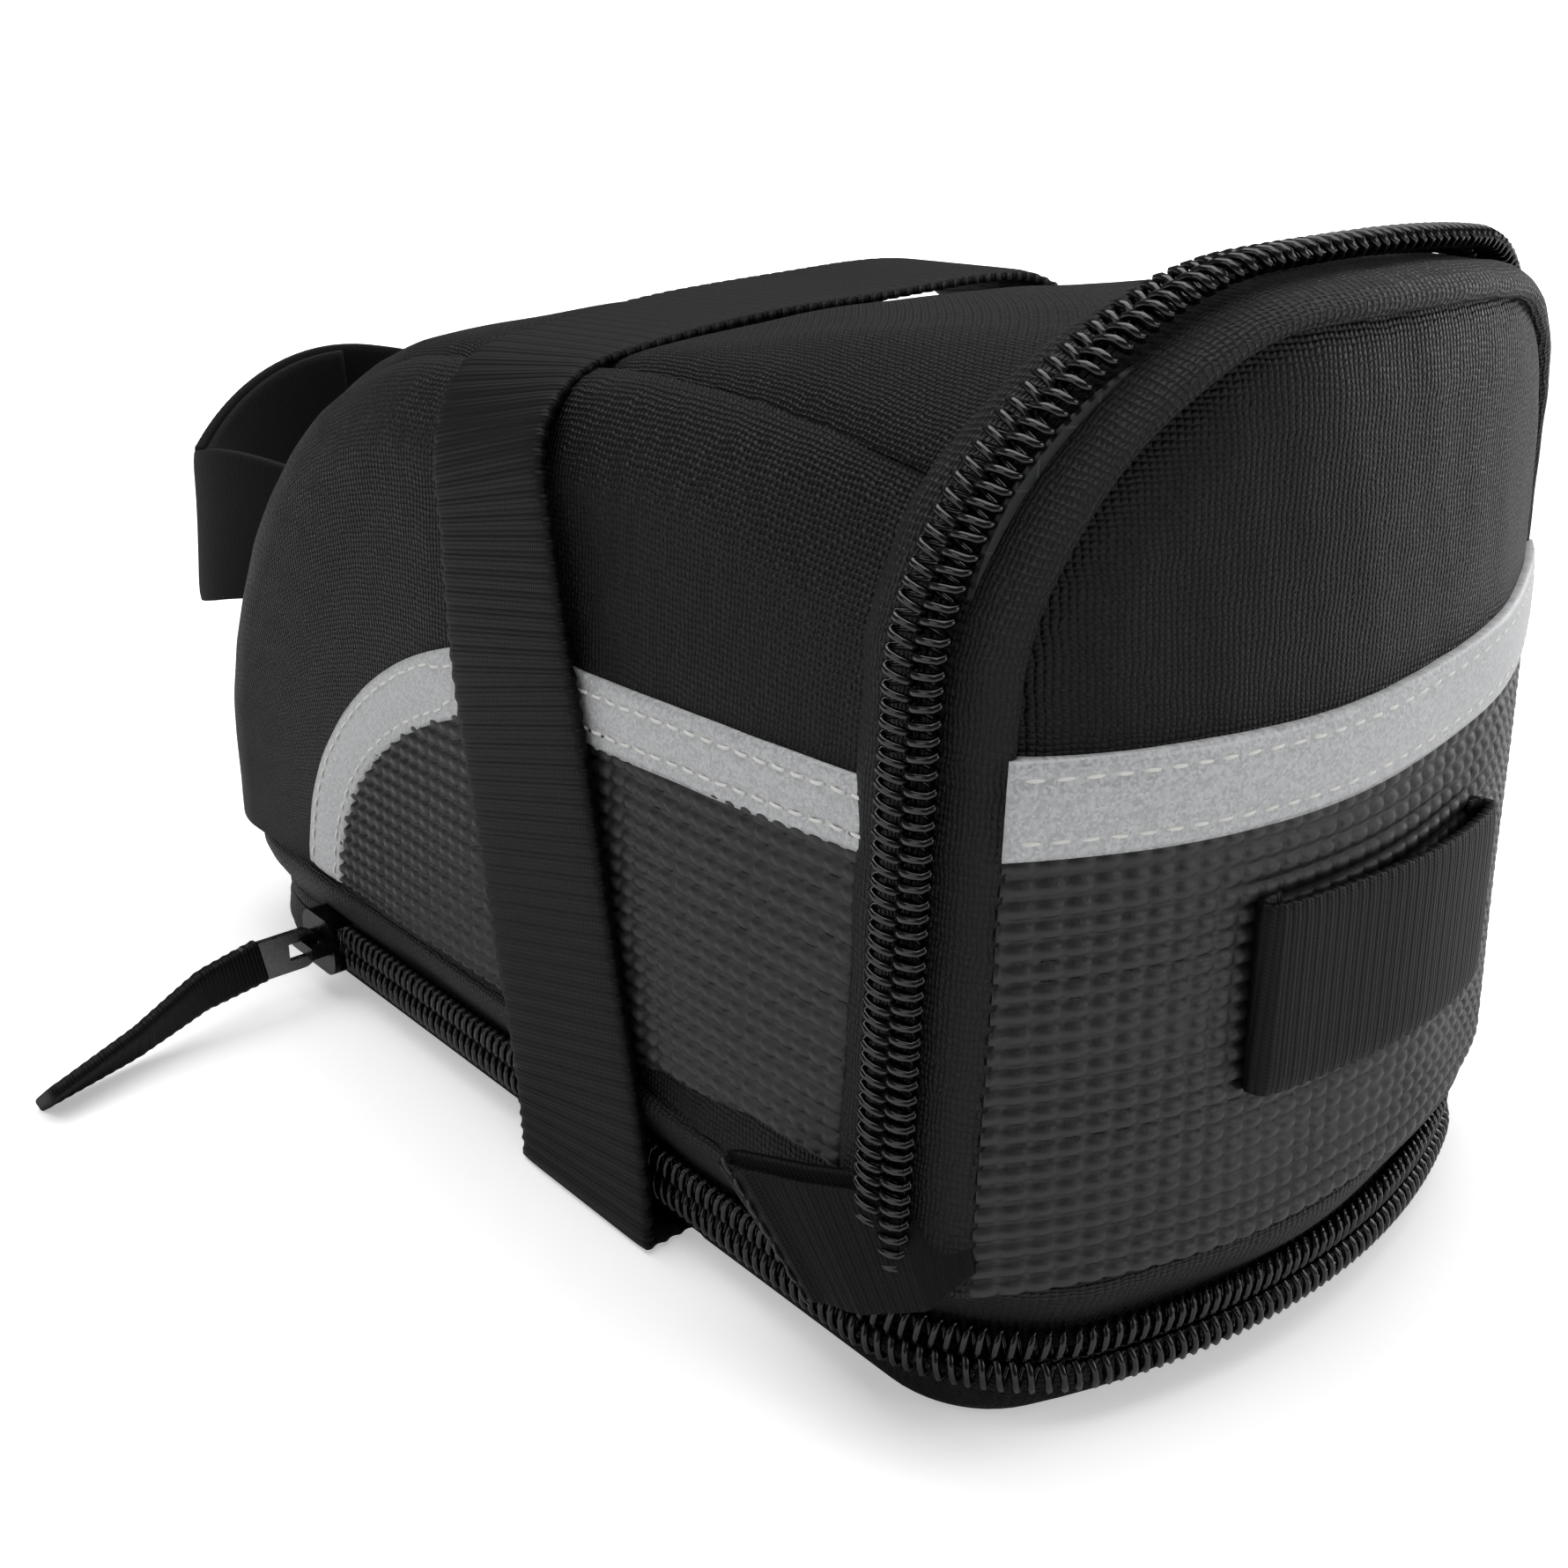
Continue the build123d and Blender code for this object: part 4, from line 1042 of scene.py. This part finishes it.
put(finish_mesh(ring_shell("skirt_cloth", PLAN, PLAN_N, smooth_profile(SKIRT), TAPE, skirt_wave)),
    "bag", ("skirt",))
put(finish_mesh(ring_shell("expansion_tape_up", PLAN, PLAN_N, smooth_profile(TAPE_UP), TAPE)),
    "bag", ("expansion_tape_upper",))
put(finish_mesh(ring_shell("expansion_tape_low", PLAN, PLAN_N, smooth_profile(TAPE_LOW), TAPE)),
    "base", ("expansion_tape_lower",))


def base_chain(z, out, last_y):
    """The expansion chain's line: from the parked slider back round the rear to the middle of the front."""
    start = np.argmax((PLAN[:, 0] < -38) & (PLAN[:, 1] < last_y))
    line = np.stack([PLAN[start:, 0] + PLAN_N[start:, 0] * out, PLAN[start:, 1] + PLAN_N[start:, 1] * out,
                     np.full(len(PLAN) - start, z)], axis=1)
    normal = np.concatenate([PLAN_N[start:], np.zeros((len(PLAN) - start, 1))], axis=1)
    fine, s = resample(line, spacing=0.5)
    run = np.concatenate([[0], np.cumsum(np.linalg.norm(np.diff(line, axis=0), axis=1))])
    return fine, unit(np.stack([np.interp(s, run, normal[:, k]) for k in range(3)], axis=1))


line, out = base_chain(BASE_CHAIN_Z, 0.75, 38.0)
put(coil_row("expansion_coil_up", line, out, 1, seed=5), "bag", ("expansion_coil_upper",))
half_pitch = unit(line[1:2] - line[:1]) * COIL_PITCH / 2
put(coil_row("expansion_coil_low", line + half_pitch, out, -1, seed=6), "base",
    ("expansion_coil_lower",))


def gusset():
    """The folded wall that opens when the bag is expanded."""
    profile = [(-1.5, 4.2), (-1.6, 8.0), (-1.9, 12.0), (-1.6, 16.0), (-1.5, 18.0), (-2.6, 18.0),
               (-2.7, 12.0), (-2.6, 4.2)]
    made = finish_mesh(ring_shell("gusset_cloth", PLAN, PLAN_N, smooth_profile(profile), CLOTH))
    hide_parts("expansion_gusset")
    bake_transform(made)


gusset()


# ---- webbing ---------------------------------------------------------------------------------------
def ribbon(name, path, across, width, thickness, finish, rib_pitch=2.15, rib=0.22, step=0.36, teeth=0.16,
           columns=26):
    """A woven strap along a path: ribs across it, and selvedges with the little loops of the weft."""
    path, across = np.asarray(path, float), np.asarray(across, float)
    run = np.concatenate([[0], np.cumsum(np.linalg.norm(np.diff(path, axis=0), axis=1))])
    s = np.arange(0, run[-1], step)
    p = np.stack([np.interp(s, run, path[:, k]) for k in range(3)], axis=1)
    a = np.stack([np.interp(s, run, across[:, k]) for k in range(3)], axis=1)
    slim = np.linalg.norm(a, axis=1) / np.linalg.norm(a[-1])
    a = unit(a)
    t = unit(np.gradient(p, axis=0))
    a = unit(a - t * np.sum(a * t, axis=1, keepdims=True))
    n = np.cross(t, a)
    wave = rib * (np.abs(np.sin(s * math.pi / rib_pitch)) - 0.6)
    edge = teeth * np.sin(s * 2 * math.pi / rib_pitch)
    c = np.linspace(-1, 1, columns)
    thin = thickness / 2 * (1 - 0.35 * np.abs(c) ** 10)
    half = width / 2 * slim + edge
    upper = (p[:, None] + a[:, None] * (c[None, :, None] * half[:, None, None])
             + n[:, None] * (thin[None, :] + wave[:, None])[..., None])
    lower = (p[:, None] + a[:, None] * (c[None, ::-1, None] * half[:, None, None])
             - n[:, None] * (thin[None, ::-1] + wave[:, None])[..., None])
    ring = np.concatenate([upper, lower], axis=1)
    rows, cols = ring.shape[:2]
    faces = grid_faces(rows, cols, closed_cols=True).tolist()
    faces.append(list(range(cols)))
    faces.append([(rows - 1) * cols + k for k in reversed(range(cols))])
    v = np.concatenate([c * width / 2, c[::-1] * width / 2])
    uv = np.stack([np.repeat(v[None, :], rows, axis=0), np.repeat(s[:, None], cols, axis=1)], axis=-1)
    made = new_object(name, ring.reshape(-1, 3), faces, uv.reshape(-1, 2), [finish])
    return finish_mesh(made)


def corner_arc(centre, radius, a0, a1, count=24):
    turn = np.radians(np.linspace(a0, a1, count))
    return np.stack([centre[0] + radius * np.cos(turn), centre[1] + radius * np.sin(turn)], axis=1)


STRAP_W, STRAP_T = 25.0, 1.5
STRAP_BEND_Z = 16.0       # below this height the strap straightens up
SIDE_ACROSS = np.array([0.0, 1.0, -STRAP_LEAN])
TOP_ACROSS = np.array([0.0, 1.0, -0.03])


def strap_y(z):
    """The strap leans forward as it rises, and stands upright where it turns under the base."""
    bend = STRAP_BEND_Z
    return STRAP_Y0 + STRAP_LEAN * np.where(z < bend, z**2 / (2 * bend) + bend / 2, z)


def side_across(z):
    """The direction across the strap on the bag's sides."""
    leaning = smooth_step(0.5, STRAP_BEND_Z, z)[:, None]
    return SIDE_ACROSS * leaning + np.array([0.0, 1.0, 0.0]) * (1 - leaning)


def strap_section():
    """The main strap's middle line in (x, z): up the left, over both rails and down to the buckle."""
    up = [(-50.6, 0.2), (-50.6, 6.0), (-50.4, 13.0), (-49.0, 40.0), (-47.6, 66.0), (-46.9, 80.0)]
    left = corner_arc((-32.2, 81.4), 14.7, 180, 97)
    right = corner_arc((32.8, 85.4), 14.7, 85, 0)
    over = [(-28.0, 96.9), (-21.0, 97.7), (-14.0, 98.3), (-8.0, 98.7), (0.0, 99.0), (8.0, 99.3),
            (16.0, 99.7), (24.0, 100.1), (30.0, 100.2)]
    down = [(47.4, 82.0), (47.7, 71.5)]
    return np.vstack([up, left, over, right, down])


def main_strap():
    section = resample(strap_section(), spacing=0.5)[0]
    kernel = np.ones(9) / 9
    x, z = [np.convolve(np.pad(section[:, k], 4, mode="edge"), kernel, "valid") for k in range(2)]
    y = strap_y(z)
    top = smooth_step(80.0, 98.0, z)[:, None]
    across = unit(side_across(z) * (1 - top) + TOP_ACROSS * top)
    y = y - 1.6 * smooth_step(60.0, 84.0, z) * smooth_step(10.0, -30.0, x)
    slim = 1 - 0.13 * smooth_step(55.0, 88.0, z) * smooth_step(10.0, -20.0, x)
    line = np.stack([x, y, z], axis=1)
    made = ribbon("main_strap", line, across * slim[:, None], STRAP_W, STRAP_T, WEBBING)
    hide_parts("strap_over_top", "strap_left_run", "strap_right_upper", "strap_bartack")
    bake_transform(made)


def right_strap():
    z = np.linspace(38.6, 0.2, 60)
    x = np.where(z > 13, 50.6 - 3.5 * (z - 13) / 71.0, 50.6)
    y = strap_y(z)
    made = ribbon("lower_strap", np.stack([x, y, z], axis=1), side_across(z), STRAP_W, STRAP_T, WEBBING)
    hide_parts("strap_right_lower")
    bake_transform(made)


def under_strap():
    x = np.linspace(-51.2, 51.2, 80)
    path = np.stack([x, x * 0 + strap_y(0.0), x * 0 + 0.85], axis=1)
    made = ribbon("base_strap", path, np.tile([0.0, 1.0, 0.0], (80, 1)), STRAP_W, 1.3, WEBBING,
                  rib=0.1)
    put(made, "base", ("strap_under_base",))


main_strap()
right_strap()
under_strap()

# ---- seat-post loop ----------------------------------------------------------------------------------
LOOP_CENTRE = np.array([0.0, 105.5, 58.0])
LOOP_AXIS = unit(np.array([0.0, -0.29, 0.957]))
LOOP_AHEAD = np.array([0.0, 0.957, 0.29])


def loop_path(radius, a0, a1, squeeze=0.0):
    turn = np.radians(np.linspace(a0, a1, 120))
    r = radius + squeeze * np.cos(2 * turn)
    return (LOOP_CENTRE + (r * np.cos(turn))[:, None] * np.array([1.0, 0, 0])
            + (r * np.sin(turn))[:, None] * LOOP_AHEAD)


def seat_loop(name, radius, a0, a1, body, finish, node_name):
    """One half of the soft loop, which hangs from its sewn rear and sags forward and to the left."""
    path = loop_path(radius, a0, a1)
    ahead = smooth_step(-16.0, 30.0, (path - LOOP_CENTRE) @ LOOP_AHEAD)[:, None]
    left = smooth_step(14.0, -30.0, path[:, :1])
    path = path - np.array([0.0, 0.0, 1.0]) * ahead * (4.0 + 14.0 * left)
    across = LOOP_AXIS * (1 - ahead) + np.array([0.0, -0.1, 0.995]) * ahead
    made = ribbon(name, path, unit(across), 24.6, 2.1, finish, 1.6, 0.05, 0.8, 0.05, 20)
    put(made, body, (node_name,))


seat_loop("seat_loop_inner", 29.9, 70, 250, "bag", NAP, "seatpost_strap_fixed")
seat_loop("seat_loop_outer", 32.35, -58, 129, "seatpost_flap", NAP, "seatpost_strap_flap")


# ---- small webbing loops -------------------------------------------------------------------------------
def finger_tab():
    """A folded loop of narrow webbing along the skirt, spread at its hem and pinched where it is sewn in."""
    low = np.array([(-48.0, -82.0, 23.0), (-51.4, -79.6, 19.0), (-53.8, -73.4, 16.0),
                    (-54.6, -66.8, 14.4)])
    high = np.array([(-45.0, -77.5, 30.6), (-50.0, -72.5, 27.6), (-53.2, -63.0, 25.4),
                     (-55.2, -54.6, 23.8)])
    away = unit(np.array([-0.94, -0.2, -0.15]))
    turn = np.radians(np.linspace(0, 180, 9))[1:-1, None]
    edges = []
    for edge, droop in ((low, 1.5), (high, 0.3)):
        outer = resample(edge, spacing=0.3)[0]
        end = unit(outer[-1] - outer[-3])
        fold = outer[-1] - 1.35 * away * (1 - np.cos(turn)) + 1.35 * end * np.sin(turn)
        share = np.linspace(0, 1, len(outer))[::-1, None]
        belly = np.sin(share * math.pi)
        inner = outer[::-1] - 2.7 * away - belly * (0.7 * away + np.array([0, 0, droop]))
        edges.append(resample(np.vstack([outer, fold, inner]), 260)[0])
    c = np.linspace(0, 1, 34)[None, :, None]
    p = edges[0][:, None] * (1 - c) + edges[1][:, None] * c
    weight = np.zeros(p.shape)
    weight[:100] = away
    run = np.linspace(0, 2 * 26.5, 260)[:, None] * np.ones((1, 34))
    hem = np.abs(run - 24.2)
    ridges = 0.45 * np.exp(-((hem - 1.7) / 0.6) ** 2) * (run < 26.5)
    ribs = 0.1 * np.abs(np.sin(run * math.pi / 1.5))
    uv = np.stack([c[..., 0] * 16.0 + run * 0, run], axis=-1)
    made = shell("finger_tab_loop", p, 1.15, [WEBBING], uv=uv, outward=weight, push=ridges + ribs)
    put(finish_mesh(made), "bag", ("finger_tab",))
    row = int(round(24.2 / 53.0 * 260))
    n = grid_normals(p)[row]
    n = n * np.sign(n @ away)[:, None]
    put(sew_line("finger_tab_stitches", p[row] + n * 0.12, n, BLACK_THREAD, 2.3, 23), "bag")


def light_loop():
    """A flat loop for a clip-on rear light, with its ends folded under and sewn to the door."""
    z0 = 46.6
    flat = np.array([(-17.5, -0.3), (-20.4, -0.9), (-21.0, -1.9), (-20.2, -2.7), (-17.0, -2.9), (0.0, -2.9),
                     (14.5, -2.9), (17.5, -2.7), (18.3, -1.9), (17.8, -0.9), (16.0, -0.3)])
    flat = resample(flat, spacing=0.8)[0]
    level = np.full(len(flat), z0)
    path = np.stack([flat[:, 0], door_y(flat[:, 0], level) + flat[:, 1], level], axis=1)
    upright = np.tile([0.0, REAR_LEAN, 1.0], (len(path), 1))
    made = ribbon("light_clip_loop", path, upright, 19.8, 1.3, WEBBING, 1.5, 0.1, 0.35, 0.08, 24)
    put(made, "door", ("light_loop",))


finger_tab()
light_loop()


def pull_tape():
    """A strip of narrow tape on the expansion zip's pull, which droops to the floor."""
    low, high = [np.array(c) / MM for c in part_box("expansion_pull_tape")]
    path = np.array([(high[0] + 1.0, 42.0, 8.2), (high[0] - 8, 41.4, 6.9), (low[0] + 12, 39.2, 3.9),
                     (low[0] - 2, 35.5, 2.3)])
    path = resample(path, spacing=1.0)[0]
    share = np.linspace(0, 1, len(path))[:, None]
    across = np.array([0.0, 0.1, 1.0]) * (1 - share) + np.array([0.0, -0.75, 0.6]) * share
    made = ribbon("pull_tape", path, unit(across), 6.2, 1.9, WEBBING, 1.5, 0.08, 0.35, 0.08, 12)
    put(made, "expansion_pull", ("expansion_pull_tape",))


pull_tape()

# ---- CAD nodes that stay, with their finishes ------------------------------------------------------------
KEPT = {
    "base_pan": CLOTH_SOLID, "base_board": FOAM, "door_lining": LINING,
    "buckle_socket": ACETAL, "buckle_plug": ACETAL,
    "seatpost_anchor_patch": CLOTH_SOLID, "main_slider": LACQUER, "main_pull": LACQUER,
    "expansion_slider": LACQUER, "expansion_pull": BRIGHT,
}
for name, finish in KEPT.items():
    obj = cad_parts[name]
    obj.data.materials.clear()
    obj.data.materials.append(finish)

# ---- studio --------------------------------------------------------------------------------------
FLOOR_Z, FLOOR_HALF = -0.0002, 30.0


world = bpy.data.worlds.new("studio")
bpy.context.scene.world = world
world.use_nodes = True
world.node_tree.nodes["Background"].inputs["Color"].default_value = (1, 1, 1, 1)
path = node(world.node_tree, "ShaderNodeLightPath")
seen = maths(world.node_tree, "MULTIPLY_ADD", path.outputs["Is Camera Ray"], 0.9, 0.12)
world.node_tree.links.new(seen, world.node_tree.nodes["Background"].inputs["Strength"])


def floor():
    mesh = bpy.data.meshes.new("floor")
    corners = [(x * FLOOR_HALF, y * FLOOR_HALF, FLOOR_Z) for x, y in ((-1, -1), (1, -1), (1, 1), (-1, 1))]
    mesh.from_pydata(corners, [], [(0, 1, 2, 3)])
    obj = bpy.data.objects.new("floor", mesh)
    bpy.context.collection.objects.link(obj)
    m, t, shader = material("paper_floor", "#f4f4f4", 0.9, Specular_IOR_Level=0.1)
    shader.inputs["Emission Color"].default_value = (1, 1, 1, 1)
    place = node(t, "ShaderNodeNewGeometry").outputs["Position"]
    reach = node(t, "ShaderNodeVectorMath", {0: place}, operation="LENGTH").outputs["Value"]
    t.links.new(maths(t, "MULTIPLY", node(t, "ShaderNodeLightPath").outputs["Is Camera Ray"],
                      span(t, reach, 0.16, 0.9, 0.4, 1.05)),
                shader.inputs["Emission Strength"])
    mesh.materials.append(m)


def area_light(name, spot, target, size, power, size_y=None):
    data = bpy.data.lights.new(name, "AREA")
    data.shape = "RECTANGLE"
    data.size, data.size_y, data.energy = size, size_y or size, power
    obj = bpy.data.objects.new(name, data)
    bpy.context.collection.objects.link(obj)
    obj.location = spot
    obj.rotation_euler = (Vector(target) - Vector(spot)).to_track_quat("-Z", "Y").to_euler()
    return obj


floor()
area_light("overhead", (0.1, 0.2, 1.3), (0, 0, 0), 1.6, 22.0)
area_light("left_window", (-1.1, 0.35, 0.5), (0, 0, 0.05), 0.8, 2.2)
area_light("rear_card", (0.5, -1.1, 0.5), (0, 0, 0.05), 0.6, 3.2)
area_light("right_window", (1.3, -0.3, 0.4), (0, 0, 0.05), 0.7, 6.0)

camera = bpy.data.objects.new("camera", bpy.data.cameras.new("camera"))
bpy.context.collection.objects.link(camera)
camera.data.sensor_width = 36.0
camera.data.lens = 40.78
camera.data.clip_start = 0.01
right, up = Vector((0.74486, -0.66695, 0.01898)), Vector((0.24632, 0.30132, 0.92116))
back = -Vector((0.62008, 0.68146, -0.38873))
camera.matrix_world = Matrix.Translation(Vector((-0.152671, -0.169478, 0.129323))) @ Matrix(
    (right, up, back)).transposed().to_4x4()
bpy.context.scene.camera = camera
bpy.context.scene.view_settings.view_transform = "Standard"
